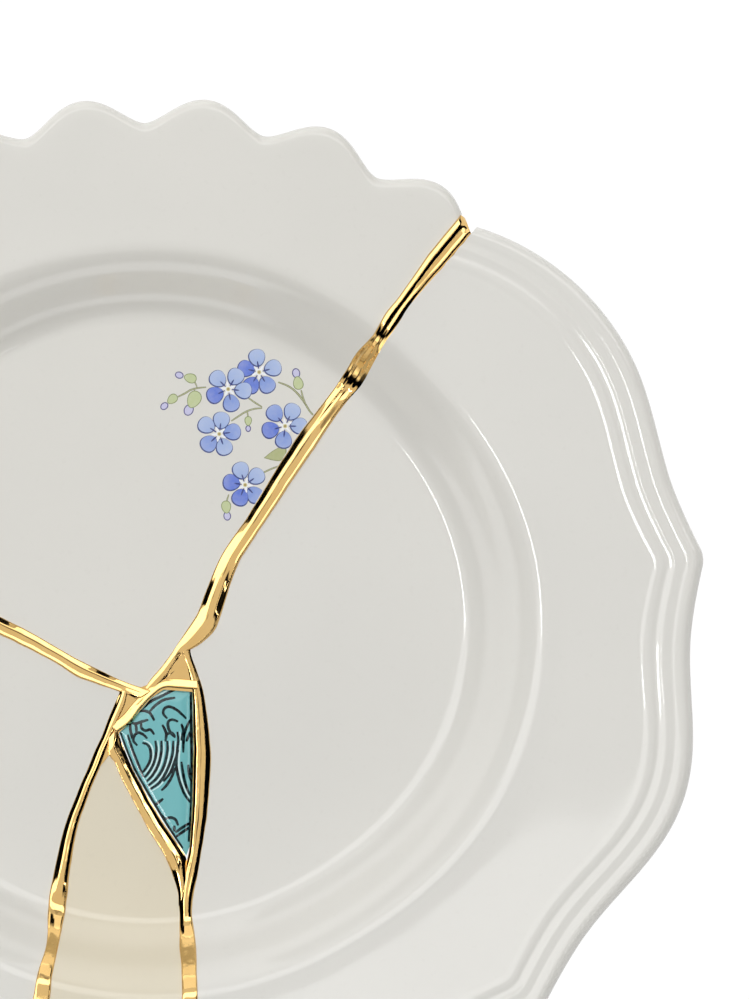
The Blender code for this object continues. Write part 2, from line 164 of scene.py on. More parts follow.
def top_height(radius, azimuth):
    start, end = wall_radii(azimuth)
    share = np.clip((radius - start) / (end - start), 0.0, 1.0)
    wall = WELL_DEPTH * share * share * (3.0 - 2.0 * share)
    beyond = np.maximum(radius - end, 0.0)
    return FLOOR_TOP + wall + RIM_SLOPE * beyond * beyond / (beyond + RIM_BLEND)


def under_height(radius, azimuth):
    return top_height(radius - WALL_LEAN, azimuth) - THICKNESS


def base_height(radius, azimuth):
    """Underside with the foot ring."""
    inner = FOOT_RADIUS - FOOT_WIDTH
    into = np.clip((FOOT_RADIUS + FOOT_DRAFT - radius) / FOOT_DRAFT, 0.0, 1.0)
    out_of = np.clip((radius - inner + FOOT_DRAFT) / FOOT_DRAFT, 0.0, 1.0)
    return under_height(radius, azimuth) * (1.0 - np.minimum(into, out_of))


# Outlines of the rims

def scalloped_outline(azimuth):
    pitch = 360.0 / SCALLOPS
    half = pitch / 2.0
    share = (np.abs((azimuth - SCALLOP_VALLEY_AZIMUTH + half) % pitch - half) / half)
    rise = SCALLOP_DEPTH * (1.0 - np.cos(np.pi * share ** SCALLOP_FULLNESS)) / 2.0
    return SCALLOP_VALLEY_RADIUS - OUTLINE_TRIM + rise


def ease(share, before, after):
    power = {"cusp": CUSP_POWER, "end": END_POWER}
    if after in power:
        return share ** power[after]
    if before in power:
        return 1.0 - (1.0 - share) ** power[before]
    return (1.0 - np.cos(np.pi * share)) / 2.0


def sharp_lobed_outline(azimuth):
    turn = (np.asarray(azimuth, float) + 180.0) % 360.0 - 180.0
    made = np.where(turn <= LOBED_RIM[0][0], LOBED_RIM[0][1], LOBED_RIM[-1][1])
    for (start, low, before), (end, high, after) in zip(LOBED_RIM, LOBED_RIM[1:]):
        here = (turn >= start) & (turn <= end)
        share = np.clip((turn - start) / (end - start), 0.0, 1.0)
        made = np.where(here, low + (high - low) * ease(share, before, after), made)
    return made


def lobed_outline(azimuth):
    """The outline with its cusps rounded a little, so that it never leaves the solid's."""
    azimuth = np.asarray(azimuth, float)
    turns = np.linspace(-CUSP_ROUNDING, CUSP_ROUNDING, 7)
    samples = [sharp_lobed_outline(azimuth + turn) for turn in turns]
    return np.minimum(np.mean(samples, axis=0), sharp_lobed_outline(azimuth))


def mirrored_outline(azimuth):
    return lobed_outline(180.0 - np.asarray(azimuth, float))


def cream_outline(azimuth):
    turns = np.linspace(50.0, 170.0, 2401)
    reach = float(np.max(scalloped_outline(turns) * np.sin(np.radians(turns))))
    return np.full(np.shape(azimuth), reach)


# Curves in plan

def spline(points, step):
    """Smooth curve through the points, about step apart. Every further channel goes along."""
    points = np.array(points, float)
    chord = np.linalg.norm(np.diff(points[:, :2], axis=0), axis=1)
    at = np.concatenate([[0.0], np.cumsum(chord)])
    slope = np.empty_like(points)
    slope[1:-1] = (points[2:] - points[:-2]) / (at[2:] - at[:-2])[:, None]
    slope[0] = (points[1] - points[0]) / chord[0]
    slope[-1] = (points[-1] - points[-2]) / chord[-1]
    where = np.linspace(0.0, at[-1], max(2, round(at[-1] / step)) + 1)
    index = np.clip(np.searchsorted(at, where, side="right") - 1, 0, len(chord) - 1)
    span = chord[index][:, None]
    t = (where - at[index])[:, None] / span
    return ((2 * t**3 - 3 * t**2 + 1) * points[index] + (t**3 - 2 * t**2 + t) * slope[index] * span
            + (3 * t**2 - 2 * t**3) * points[index + 1] + (t**3 - t**2) * slope[index + 1] * span)


def left_of(along):
    """Unit vectors to the left of some directions."""
    along = along / np.linalg.norm(along, axis=1)[:, None]
    return np.column_stack([-along[:, 1], along[:, 0]])


def seam_side(seam, side):
    """One side of a seam, from its inner end outwards: 1 for left, -1 for right."""
    middle = np.array(seam, float)
    along = np.vstack([middle[1:2, :2] - middle[:1, :2], middle[2:, :2] - middle[:-2, :2],
                       middle[-1:, :2] - middle[-2:-1, :2]])
    return middle[:, :2] + left_of(along) * (side * middle[:, 2:] / 2.0)


def inset(line, distance):
    """An open line moved to its left."""
    return line + left_of(np.gradient(line, axis=0)) * distance


def azimuth_of(points):
    return np.degrees(np.arctan2(points[..., 1], points[..., 0]))


SHARDS = {
    "scalloped_shard": (UPPER_RIGHT_SEAM, SCALLOPED_CORNER, LEFT_SEAM, scalloped_outline, ()),
    "left_shard": (LEFT_SEAM, LEFT_CORNER, LOWER_LEFT_SEAM, mirrored_outline, ()),
    "cream_shard": (LOWER_LEFT_SEAM, CREAM_CORNER, LOWER_RIGHT_SEAM, cream_outline, ()),
    "lobed_shard": (LOWER_RIGHT_SEAM, LOBED_CORNER, UPPER_RIGHT_SEAM, lobed_outline, MOULDING),
}


def broken_edge(name):
    """A shard's smooth broken edge in millimetres, tucked a little way under the gold."""
    starts, corner, ends, _, _ = SHARDS[name]
    point = LOBED_POINT if name == "lobed_shard" else ()
    rough = np.vstack([seam_side(starts, 1)[::-1], corner + point, seam_side(ends, -1)])
    return inset(spline(rough, BREAK_STEP), TUCK)


# The porcelain

def rounded(points, radius, steps):
    """A section's corners rounded: each inner point gives way to a short arc."""
    points = [np.array(point, float) for point in points]
    made = [points[0]]
    for before, here, after in zip(points, points[1:], points[2:]):
        into, out = before - here, after - here
        reach = min(radius, np.linalg.norm(into) / 2.0, np.linalg.norm(out) / 2.0)
        first = here + into / np.linalg.norm(into) * reach
        last = here + out / np.linalg.norm(out) * reach
        for share in np.linspace(0.0, 1.0, steps):
            made.append((1 - share) ** 2 * first + 2 * share * (1 - share) * here + share**2 * last)
    return made + [points[-1]]


def section(azimuth, outline, moulding):
    """Section from the floor, over the rim, to the inside of the foot: arrays of radius and height."""
    rim = outline(azimuth)
    start, end = wall_radii(azimuth)
    half = THICKNESS / 2.0
    radii, heights = [], []

    def add(radius, height):
        radii.append(radius)
        heights.append(height)

    def add_top(radius, lift=0.0):
        add(radius, top_height(radius, azimuth) + lift)

    add(start - FLOOR_BAND, FLOOR_TOP)
    for share in np.linspace(0.0, 1.0, WALL_STEPS):
        add_top(start + (end - start) * share)
    plain_end = rim - (moulding[0][0] if moulding else half)
    for share in np.linspace(0.0, 1.0, RIM_STEPS + 1)[1:]:
        add_top(end + (plain_end - end) * share)
    if moulding:
        for distance, lift in spline(np.array(moulding) / MM, MOULDING_STEP)[1:] * MM:
            add_top(rim - distance, lift)
    last = rim - half
    edge = top_height(last, azimuth) - half
    crown = heights[-1] - edge
    for turn in np.radians(np.linspace(90.0, -90.0, EDGE_STEPS))[1:]:
        add(last + half * np.cos(turn), edge + (crown if turn > 0.0 else half) * np.sin(turn))
    outwards = np.linspace(0.0, 1.0, UNDER_STEPS + 1)[1:]
    under = [last + (end + WALL_LEAN - last) * share for share in outwards]
    inwards = np.linspace(1.0, 0.0, UNDER_WALL_STEPS)[1:-1]
    under += [start + (end - start) * share + WALL_LEAN for share in inwards]
    for radius in under:
        add(radius, under_height(radius, azimuth))
    gap = start + WALL_LEAN - FOOT_RADIUS - FOOT_DRAFT
    for into, low in FOOT_PROFILE:
        add(FOOT_RADIUS + FOOT_DRAFT + gap * max(into, 0.0) + min(into, 0.0), low)
    add(FOOT_RADIUS - FOOT_WIDTH - 2 * FOOT_DRAFT, FOOT_HEIGHT)
    return np.array(np.broadcast_arrays(*radii)), np.array(np.broadcast_arrays(*heights))


def foot_profile():
    """Foot ring from the wall inwards. A positive value is a share of the way to the wall."""
    inner = -FOOT_WIDTH - FOOT_DRAFT
    corners = ((FOOT_LEAD, FOOT_HEIGHT), (0.0, FOOT_HEIGHT), (-FOOT_DRAFT, 0.0), (inner, 0.0),
               (inner - FOOT_DRAFT, FOOT_HEIGHT), (inner - 2 * FOOT_DRAFT, FOOT_HEIGHT))
    made = rounded(corners, FOOT_ROUNDING, FOOT_ROUNDING_STEPS)[1:-1]
    return [(1.0, FOOT_HEIGHT)] + [tuple(point) for point in made]


FOOT_PROFILE = foot_profile()


def placed(made):
    bpy.context.scene.collection.objects.link(made)
    return made


def mesh_object(name, points, faces):
    mesh = bpy.data.meshes.new(name)
    mesh.from_pydata([tuple(point) for point in points], [], faces)
    mesh.validate()
    return placed(bpy.data.objects.new(name, mesh))


def plate_blank(name):
    """A whole plate, fine over the shard's own part and coarse round the rest."""
    starts, _, ends, outline, moulding = SHARDS[name]
    low = azimuth_of(np.array(starts[-1][:2])) % 360.0 - COLUMN_MARGIN
    high = azimuth_of(np.array(ends[-1][:2])) % 360.0 + COLUMN_MARGIN
    if high < low:
        high += 360.0
    fine = np.linspace(low, high, round((high - low) / COLUMN_DEGREES) + 1)
    spare = np.linspace(high, low + 360.0, math.ceil((low + 360.0 - high) / SPARE_DEGREES) + 1)[1:-1]
    azimuth = np.concatenate([fine, spare])
    radii, heights = section(azimuth, outline, moulding)
    turn = np.radians(azimuth)
    stations, columns = radii.shape
    points = np.stack([radii * np.cos(turn), radii * np.sin(turn), heights], axis=-1)
    grid = np.arange(stations * columns).reshape(stations, columns)
    across = np.roll(grid, -1, axis=1)
    faces = np.stack([grid[:-1], across[:-1], across[1:], grid[1:]], axis=-1).reshape(-1, 4).tolist()
    faces = [face[::-1] for face in faces]
    faces.append(grid[0].tolist())
    faces.append(grid[-1][::-1].tolist())
    return mesh_object(name + "_blank", points.reshape(-1, 3), faces)


def region(name):
    """Plan outline of a shard, closed round the outside of every rim, in metres."""
    edge = broken_edge(name)
    first = edge[0] + (edge[0] - edge[1]) / np.linalg.norm(edge[0] - edge[1]) * RUN_OUT
    last = edge[-1] + (edge[-1] - edge[-2]) / np.linalg.norm(edge[-1] - edge[-2]) * RUN_OUT
    start, end = azimuth_of(first) % 360.0, azimuth_of(last) % 360.0
    if end < start:
        end += 360.0
    turns = np.radians(np.arange(end, start, -CUTTER_STEP_DEGREES)[1:])
    reach = np.linalg.norm(first)
    around = np.column_stack([reach * np.cos(turns), reach * np.sin(turns)])
    return np.vstack([[first], edge, [last], around]) * MM


def upright_slab(name, outline, bottom, top):
    count = len(outline)
    points = [(x, y, bottom) for x, y in outline] + [(x, y, top) for x, y in outline]
    faces = [(i, (i + 1) % count, count + (i + 1) % count, count + i) for i in range(count)]
    faces.append(tuple(range(count))[::-1])
    faces.append(tuple(range(count, 2 * count)))
    return mesh_object(name, points, faces)


def outward(made):
    bm = bmesh.new()
    bm.from_mesh(made.data)
    bmesh.ops.recalc_face_normals(bm, faces=bm.faces[:])
    bm.to_mesh(made.data)
    bm.free()


def combined(first, second, operation):
    """first with the Boolean applied. second is used up."""
    cut = first.modifiers.new("Break", "BOOLEAN")
    cut.operation = operation
    cut.solver = "MANIFOLD"
    cut.object = second
    done = bpy.data.meshes.new_from_object(first.evaluated_get(bpy.context.evaluated_depsgraph_get()))
    first.modifiers.clear()
    first.data = done
    bpy.data.objects.remove(second, do_unlink=True)
    return first


def finish_piece(made, name, node, material):
    made.name = name
    made.data.name = name
    made.data.materials.clear()
    made.data.materials.append(material)
    made.data.shade_smooth()
    made.data.set_sharp_from_angle(angle=math.radians(SHARP_DEGREES))
    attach(made, "root")
    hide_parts(node)


def rim_shard(name):
    blank = plate_blank(name)
    cutter = upright_slab(name + "_cutter", region(name), CUTTER_BOTTOM, CUTTER_TOP)
    outward(blank)
    outward(cutter)
    return combined(blank, cutter, "INTERSECT")


# Paint: flat shapes drawn into the floor's own mesh, each with its colours
WELD = 1e-4
PAINT_GAP = 0.05

def ellipse(centre, along, across, azimuth=0.0, count=28, fullness=0.0):
    """Closed outline. fullness widens the far end, as in a petal."""
    turn = np.linspace(0.0, 2 * np.pi, count, endpoint=False)
    x = along * np.cos(turn)
    y = across * np.sin(turn) * (1.0 + fullness * np.cos(turn))
    way = math.radians(azimuth)
    return np.column_stack([centre[0] + x * math.cos(way) - y * math.sin(way),
                            centre[1] + x * math.sin(way) + y * math.cos(way)])


def stroke(points, width, step=0.25, taper=0.35):
    """Closed outline of a brush line, thinner towards both ends."""
    line = spline(points, step)
    side = left_of(np.gradient(line, axis=0))
    share = np.linspace(0.0, 1.0, len(line))
    half = width / 2.0 * (taper + (1.0 - taper) * np.sin(np.pi * share) ** 0.5)
    return np.vstack([line + side * half[:, None], (line - side * half[:, None])[::-1]])


def rgb(red, green, blue):
    """Linear colour from the usual 0 to 255 values."""
    def linear(value):
        share = value / 255.0
        return share / 12.92 if share <= 0.04045 else ((share + 0.055) / 1.055) ** 2.4
    return (linear(red), linear(green), linear(blue))


def inside(points, loop):
    """Which of the points lie inside a closed loop."""
    x, y = points[:, 0], points[:, 1]
    found = np.zeros(len(points), bool)
    for (x0, y0), (x1, y1) in zip(loop, np.roll(loop, -1, axis=0)):
        if y0 != y1:
            crosses = (y0 > y) != (y1 > y)
            found ^= crosses & (x < x0 + (y - y0) * (x1 - x0) / (y1 - y0))
    return found


def held_inside(points, border, margin):
    """Points too near an open border, or past it on its left-hand side, moved back to its right."""
    moved = points.copy()
    starts, ends = border[:-1], border[1:]
    along = ends - starts
    lengths = np.linalg.norm(along, axis=1)
    along = along / lengths[:, None]
    for index, point in enumerate(points):
        reach = np.clip(((point - starts) * along).sum(axis=1), 0.0, lengths)
        foot = starts + along * reach[:, None]
        away = np.linalg.norm(point - foot, axis=1)
        near = int(np.argmin(away))
        normal = np.array([along[near, 1], -along[near, 0]])
        if (point - foot[near]) @ normal < margin:
            moved[index] = foot[near] + normal * margin
    return moved


def add_loop(points, links, outline):
    """Adds a closed outline to what is to be cut into triangles."""
    first, count = len(points), len(outline)
    points += [Vector(point) for point in outline]
    links += [(first + index, first + (index + 1) % count) for index in range(count)]


def triangulated(points, links):
    """The flat points, what each comes from, the triangles' corners and their middles."""
    flat, _, triangles, origins, _, _ = delaunay_2d_cdt(points, links, [], 0, WELD)
    flat, corners = np.array(flat), np.array(triangles)
    return flat, origins, corners, flat[corners].mean(axis=1)


def owners(middles, loops, keep=True):
    """Number of the last loop that each middle lies in, or -1."""
    owner = np.full(len(middles), -1)
    for number, (line, _) in enumerate(loops):
        near = (middles >= line.min(axis=0)).all(axis=1) & (middles <= line.max(axis=0)).all(axis=1)
        near = np.nonzero(keep & near)[0]
        owner[near[inside(middles[near], line)]] = number
    return owner


def paint_face(face, layer, places, colour, plain):
    """Colours a face: with a colour or a function of x and y giving one, or with None as plain glaze."""
    for loop, place in zip(face.loops, places):
        if colour is None:
            loop[layer] = (*plain, 0.0)
        else:
            loop[layer] = (*(colour(*place) if callable(colour) else colour), 1.0)


def closed_mesh(bm, name):
    bmesh.ops.recalc_face_normals(bm, faces=bm.faces[:])
    mesh = bpy.data.meshes.new(name)
    bm.to_mesh(mesh)
    bm.free()
    return mesh


def painted_sheet(made, height, shapes, plain, border):
    """Cuts the shapes into the flat faces at a height and colours them.

    shapes are (outline in mm, colour or a function of x and y giving one). Later ones lie on top.
    """
    bm = bmesh.new()
    bm.from_mesh(made.data)
    flat = [face for face in bm.faces if face.normal.z > 0.999
            and all(abs(vert.co.z - height) < 1e-6 for vert in face.verts)]
    chosen = set(flat)
    rim = [edge for edge in bm.edges if sum(face in chosen for face in edge.link_faces) == 1]
    ring = sorted({vert for edge in rim for vert in edge.verts}, key=lambda vert: vert.index)
    place = {vert: index for index, vert in enumerate(ring)}
    points = [Vector((vert.co.x / MM, vert.co.y / MM)) for vert in ring]
    links = [(place[edge.verts[0]], place[edge.verts[1]]) for edge in rim]
    loops = [(held_inside(outline, border, TUCK + PAINT_GAP), colour) for outline, colour in shapes]
    for outline, _ in loops:
        add_loop(points, links, outline)
    flat_points, origins, corners, middles = triangulated(points, links)
    keep = np.zeros(len(middles), bool)
    for face in flat:
        keep |= inside(middles, np.array([(vert.co.x / MM, vert.co.y / MM) for vert in face.verts]))
    bmesh.ops.delete(bm, geom=flat, context="FACES_ONLY")
    layer = bm.loops.layers.float_color.new("paint")
    for face in bm.faces:
        paint_face(face, layer, face.verts, None, plain)
    verts = {}
    for index, sources in enumerate(origins):
        known = [source for source in sources if source < len(ring)]
        if known:
            verts[index] = ring[known[0]]
    owner = owners(middles, loops, keep)
    for number in np.nonzero(keep)[0]:
        triangle = corners[number]
        for index in triangle:
            if index not in verts:
                x, y = flat_points[index] * MM
                verts[index] = bm.verts.new((x, y, height))
        chosen_verts = [verts[index] for index in triangle]
        if len(set(chosen_verts)) == 3:
            colour = loops[owner[number]][1] if owner[number] >= 0 else None
            paint_face(bm.faces.new(chosen_verts), layer, flat_points[triangle], colour, plain)
    made.data = closed_mesh(bm, made.data.name)


# Forget-me-nots. A flower is its centre and its petals: centre and tone of each
PALE, MID, STRONG = rgb(164, 184, 226), rgb(134, 158, 220), rgb(98, 124, 214)
PETAL_LINE = rgb(44, 60, 128)
TICK = rgb(44, 58, 128)
STAR = rgb(238, 240, 246)
EYE_RING, EYE = rgb(222, 216, 176), rgb(168, 150, 92)
STEM, STEM_LIGHT = rgb(112, 114, 74), rgb(182, 186, 142)
CALYX, CALYX_LINE = rgb(194, 204, 156), rgb(128, 142, 88)
BUD, BUD_LINE = rgb(200, 198, 228), rgb(70, 64, 128)
LEAF, LEAF_LINE = rgb(176, 181, 130), rgb(140, 146, 98)

FLOWERS = (
    ((18.73, 42.61), (((16.32, 43.2), STRONG), ((17.25, 40.2), STRONG), ((20.1, 40.3), MID),
                      ((21.2, 43.3), PALE), ((18.3, 45.2), PALE))),
    ((23.2, 33.33), (((25.7, 33.3), PALE), ((22.9, 30.8), MID), ((20.5, 32.6), STRONG),
                     ((21.3, 35.6), MID), ((24.4, 35.9), PALE))),
    ((16.32, 23.2), (((18.0, 21.4), MID), ((15.4, 20.9), STRONG), ((13.8, 23.6), STRONG),
                     ((15.5, 25.8), PALE), ((18.3, 24.7), PALE))),
    ((11.86, 31.96), (((9.95, 30.2), MID), ((12.7, 29.6), PALE), ((14.2, 32.3), MID),
                      ((12.2, 34.4), PALE), ((9.5, 33.5), PALE))),
    ((13.4, 39.69), (((11.0, 38.6), STRONG), ((13.9, 37.1), MID), ((16.1, 39.4), PALE),
                     ((14.7, 41.9), PALE), ((11.5, 41.5), PALE))),
)
STEMS = (
    (((28.5, 34.8), (27.5, 35.8), (26.46, 37.46), (25.09, 39.18), (23.71, 40.21), (21.99, 40.89)), 0.36),
    (((25.95, 39.52), (26.29, 38.14), (26.8, 36.94)), 0.32),
    (((19.24, 36.6), (17.87, 37.46), (16.67, 38.32)), 0.30),
    (((19.24, 36.43), (17.7, 36.25), (16.32, 35.74), (14.95, 34.88), (13.92, 34.19)), 0.32),
    (((16.67, 35.9), (16.84, 34.71)), 0.26),
    (((19.0, 25.1), (20.79, 25.95), (22.6, 26.6)), 0.30),
    (((9.62, 40.03), (8.08, 39.86), (6.87, 39.52), (6.01, 39.0), (4.4, 38.2)), 0.32),
    (((8.08, 39.86), (7.73, 40.72), (6.87, 41.58)), 0.26),
    (((7.6, 39.8), (7.56, 38.9), (7.56, 38.3)), 0.26),
    (((13.5, 21.6), (13.2, 20.6), (13.06, 19.9)), 0.26),
)
BUDS = (  # tip, tip radius, calyx, calyx radius
    ((4.98, 42.1), 0.70, (6.87, 41.58), 1.0), ((2.41, 36.77), 0.70, (3.78, 37.97), 0.92),
    ((6.6, 36.1), 0.95, (7.5, 37.9), 1.4), ((25.09, 42.44), 0.80, (25.43, 40.75), 1.05),
    ((16.84, 32.9), 0.55, (16.84, 34.2), 0.75), ((13.23, 17.87), 0.75, (13.06, 19.4), 1.0),
)
LEAF_OUTLINE = ((19.5, 27.84), (20.6, 28.75), (21.8, 29.5), (23.2, 29.9), (23.4, 28.6), (22.5, 27.4),
                (21.2, 27.4))


# How the brush shapes are made, in millimetres and shares of a radius
PETAL_REACH = 0.94
PETAL_FULLNESS = 0.18
PETAL_LINE_SIZE, PETAL_SIZE = (1.56, 1.47), (1.42, 1.33)
PETAL_LIGHT_SIDE = (0.06, 0.09)
BUD_SHAPE = (1.08, 0.88, 0.17, 0.0, BUD_LINE, BUD)  # length, breadth, line, fullness, colours
CALYX_SHAPE = (1.12, 0.84, 0.13, -0.2, CALYX_LINE, CALYX)
TICK_SHAPE = (0.55, 1.95, 0.28, 0.1)  # from, to, width, taper
STAR_SHAPE = (0.2, 1.35, 0.38, 0.2)
EYES = ((0.56, 18, STAR), (0.40, 16, EYE_RING), (0.24, 14, EYE))


def towards(base, other, share):
    return tuple(a + (b - a) * share for a, b in zip(base, other))


def petal_colour(centre, tip, tone):
    """Darker at the base, lighter towards the rim of the petal."""
    reach = math.dist(centre, tip) + 1.5

    def colour(x, y):
        share = min(math.dist(centre, (x, y)) / reach, 1.0)
        body = towards(towards(tone, TICK, 0.22), tone, min(share * 2.0, 1.0))
        return towards(body, STAR, 0.16 * max(share - 0.55, 0.0) / 0.45)
    return colour


def way_between(start, end):
    return math.degrees(math.atan2(end[1] - start[1], end[0] - start[0]))


def lined_oval(centre, radius, way, shape):
    """The dark outline of a bud or calyx and the lighter shape inside it."""
    length, breadth, line_width, fullness, line, colour = shape
    return [(ellipse(centre, radius * length - gap, radius * breadth - gap, way, fullness=fullness), shade)
            for gap, shade in ((0.0, line), (line_width, colour))]


def spoke(centre, way, near, far, width, taper):
    """A brush line outwards from a flower's centre."""
    x, y = math.cos(math.radians(way)), math.sin(math.radians(way))
    ends = [(centre[0] + reach * x, centre[1] + reach * y) for reach in (near, far)]
    return stroke(ends, width, step=0.2, taper=taper)


def flower_shapes():
    shapes = []
    for points, width in STEMS:
        shapes.append((stroke(points, width, taper=0.6), STEM))
        shapes.append((stroke(points, width * 0.4, taper=0.5), STEM_LIGHT))
    leaf = spline(LEAF_OUTLINE + LEAF_OUTLINE[:1], 0.3)[:-1]
    middle = leaf.mean(axis=0)
    shapes.append((leaf, LEAF_LINE))
    shapes.append((middle + (leaf - middle) * 0.88, LEAF))
    for tip, tip_radius, calyx, calyx_radius in BUDS:
        way = way_between(calyx, tip)
        shapes += lined_oval(tip, tip_radius, way, BUD_SHAPE)
        shapes += lined_oval(calyx, calyx_radius, way, CALYX_SHAPE)
    for centre, petals in FLOWERS:
        ways = [way_between(centre, tip) for tip, _ in petals]
        for (tip, tone), way in zip(petals, ways):
            shade = petal_colour(centre, tip, tone)
            tip = towards(centre, tip, PETAL_REACH)
            inner = (tip[0] + PETAL_LIGHT_SIDE[0], tip[1] + PETAL_LIGHT_SIDE[1])
            shapes.append((ellipse(tip, *PETAL_LINE_SIZE, way, fullness=PETAL_FULLNESS), PETAL_LINE))
            shapes.append((ellipse(inner, *PETAL_SIZE, way, fullness=PETAL_FULLNESS), shade))
        shapes += [(spoke(centre, way, *TICK_SHAPE), TICK) for way in ways]
        ordered = sorted(ways)
        for one, two in zip(ordered, ordered[1:] + [ordered[0] + 360.0]):
            shapes.append((spoke(centre, (one + two) / 2.0, *STAR_SHAPE), STAR))
        shapes += [(ellipse(centre, radius, radius, count=count), colour) for radius, count, colour in EYES]
    return shapes


# Line work on the teal shard: waves and curls of the common kind, each x and y from point to point. Also
# dark strokes of painted shade along its edges
# Dark colour of the line work, also used for the painted shade along the teal shard's edges
TEAL_INK_AND_EDGE_SHADE = rgb(4, 9, 15)
TEAL_LIGHT = rgb(204, 234, 234)
TEAL_LINES = (
    (-1.72, -15.64, 0.0, -14.09, 1.72, -13.23, 3.44, -12.37, 4.3, -12.0),
    (-0.17, -15.81, 1.03, -14.6, 2.41, -13.75, 4.3, -13.4),
    (-2.23, -15.85, -1.2, -15.64, -0.17, -15.98, 0.34, -16.67, 0.69, -17.35),
    (-3.5, -17.6, -2.58, -17.87, -1.55, -17.53, -0.34, -17.18),
    (-1.55, -17.53, -1.55, -18.56, -0.86, -19.07, 0.0, -18.9, 0.69, -19.76),
    (-2.23, -21.65, -2.92, -20.79, -2.75, -19.93, -2.06, -19.42, -1.2, -19.76, -0.52, -20.45),
    (-3.44, -17.6, -3.44, -18.9, -3.09, -20.27, -2.75, -21.13),
    (-2.58, -17.87, -2.41, -18.56, -2.41, -19.42),
    (2.92, -17.01, 2.23, -16.15, 2.41, -15.29, 3.26, -14.95, 4.47, -15.46, 5.5, -16.32, 6.19, -17.01),
    (4.81, -17.53, 3.78, -17.18, 3.09, -17.53, 3.09, -18.56, 3.61, -19.59, 4.3, -20.27),
    (2.06, -18.04, 2.58, -19.07, 2.75, -19.76, 2.58, -20.96),
    (2.75, -19.76, 3.61, -19.42, 4.3, -20.1),
    (6.87, -17.18, 6.36, -18.21, 5.84, -19.59, 5.67, -21.48, 5.67, -22.85),
    (5.33, -17.87, 5.67, -19.07, 5.33, -20.79),
    (7.1, -18.9, 6.53, -20.1, 6.19, -20.96),
    (4.64, -19.24, 4.81, -20.62, 4.64, -22.34, 4.47, -24.91, 4.81, -26.98, 5.33, -28.69, 6.01, -30.24,
     6.95, -31.5),
    (5.33, -24.4, 5.84, -27.49, 6.53, -29.55, 7.0, -30.4),
    (6.53, -24.91, 6.7, -26.63, 7.1, -27.9),
    (-1.37, -21.13, -0.52, -21.48, 0.0, -22.34, 0.0, -24.05, -0.69, -25.43, -1.37, -26.29),
    (0.86, -20.79, 1.03, -22.34, 0.69, -24.4, -0.17, -26.12, -1.03, -27.15),
    (1.89, -20.79, 1.89, -22.68, 1.37, -24.91, 0.34, -26.8, -0.69, -27.84),
    (2.92, -20.79, 2.92, -22.68, 2.23, -25.43, 1.03, -27.32, -0.45, -28.6),
    (3.95, -20.79, 3.78, -23.2, 2.92, -25.77, 1.55, -28.01, -0.1, -29.2),
    (4.81, -22.34, 4.12, -24.57, 3.44, -26.29, 2.23, -27.84),
    (4.3, -25.43, 3.61, -27.15, 2.75, -28.52, 1.89, -29.38),
    (0.86, -31.86, 2.23, -30.76),
    (1.5, -33.2, 2.23, -34.02, 2.58, -35.0),
    (2.41, -34.3, 3.44, -34.02, 4.3, -34.36, 4.81, -35.4),
    (4.12, -35.4, 4.12, -36.43),
    (4.3, -36.6, 5.5, -35.74, 6.95, -34.88),
    (4.47, -37.29, 5.67, -36.43, 6.95, -35.57),
    (-3.9, -19.76, -3.09, -22.34, -2.06, -24.91, -1.2, -27.1),
)
LIGHT_LINES = (18, 19, 20, 21, 22, 0, 15)
TEAL_LINE_WIDTH = 0.52
TEAL_LIGHT_WIDTH = 0.30
TEAL_LIGHT_SHIFT = 0.42
TEAL_LINE_GAP = 0.04
TEAL_EDGE_STEP = 0.4
TEAL_EDGE_DROP = 0.50
TEAL_EDGE_RUN = 2.7
TEAL_RINGS = (0.15, 0.4, 0.7, 1.0, 1.3, 1.7, 2.2, 2.65)
# Painted shade: dark strokes along the teal shard's right and left edges, where the gap beside the gold
# lies in shadow
TEAL_EDGE_SHADE_STROKES = (
    (((6.95, -12.3), (7.0, -16.0), (7.1, -24.0), (7.0, -32.0), (6.6, -38.2)), 0.5),
    (((-5.1, -19.4), (-4.1, -22.2), (-2.7, -25.6), (-0.35, -29.8), (2.7, -34.9), (5.6, -39.3)), 0.42),
)


def teal_lines():
    shapes = []
    lines = [np.reshape(line, (-1, 2)) for line in TEAL_LINES]
    for number in LIGHT_LINES:
        line = inset(spline(lines[number], 0.25), TEAL_LIGHT_SHIFT)
        shapes.append((stroke(line, TEAL_LIGHT_WIDTH), TEAL_LIGHT))
    for line in lines:
        shapes.append((stroke(line, TEAL_LINE_WIDTH, step=0.22, taper=0.6), TEAL_INK_AND_EDGE_SHADE))
    # painted shade along the right and left edges, in the line work's dark colour
    for line, width in TEAL_EDGE_SHADE_STROKES:
        shapes.append((stroke(line, width, step=0.3, taper=0.7), TEAL_INK_AND_EDGE_SHADE))
    return shapes


def distances(points, line):
    """Distance of each point to a line."""
    nearest = np.full(len(points), np.inf)
    for start, end in zip(line[:-1], line[1:]):
        along = end - start
        size = max(along @ along, 1e-12)
        share = np.clip(((points - start) @ along) / size, 0.0, 1.0)
        nearest = np.minimum(nearest, np.linalg.norm(points - start - share[:, None] * along, axis=1))
    return nearest


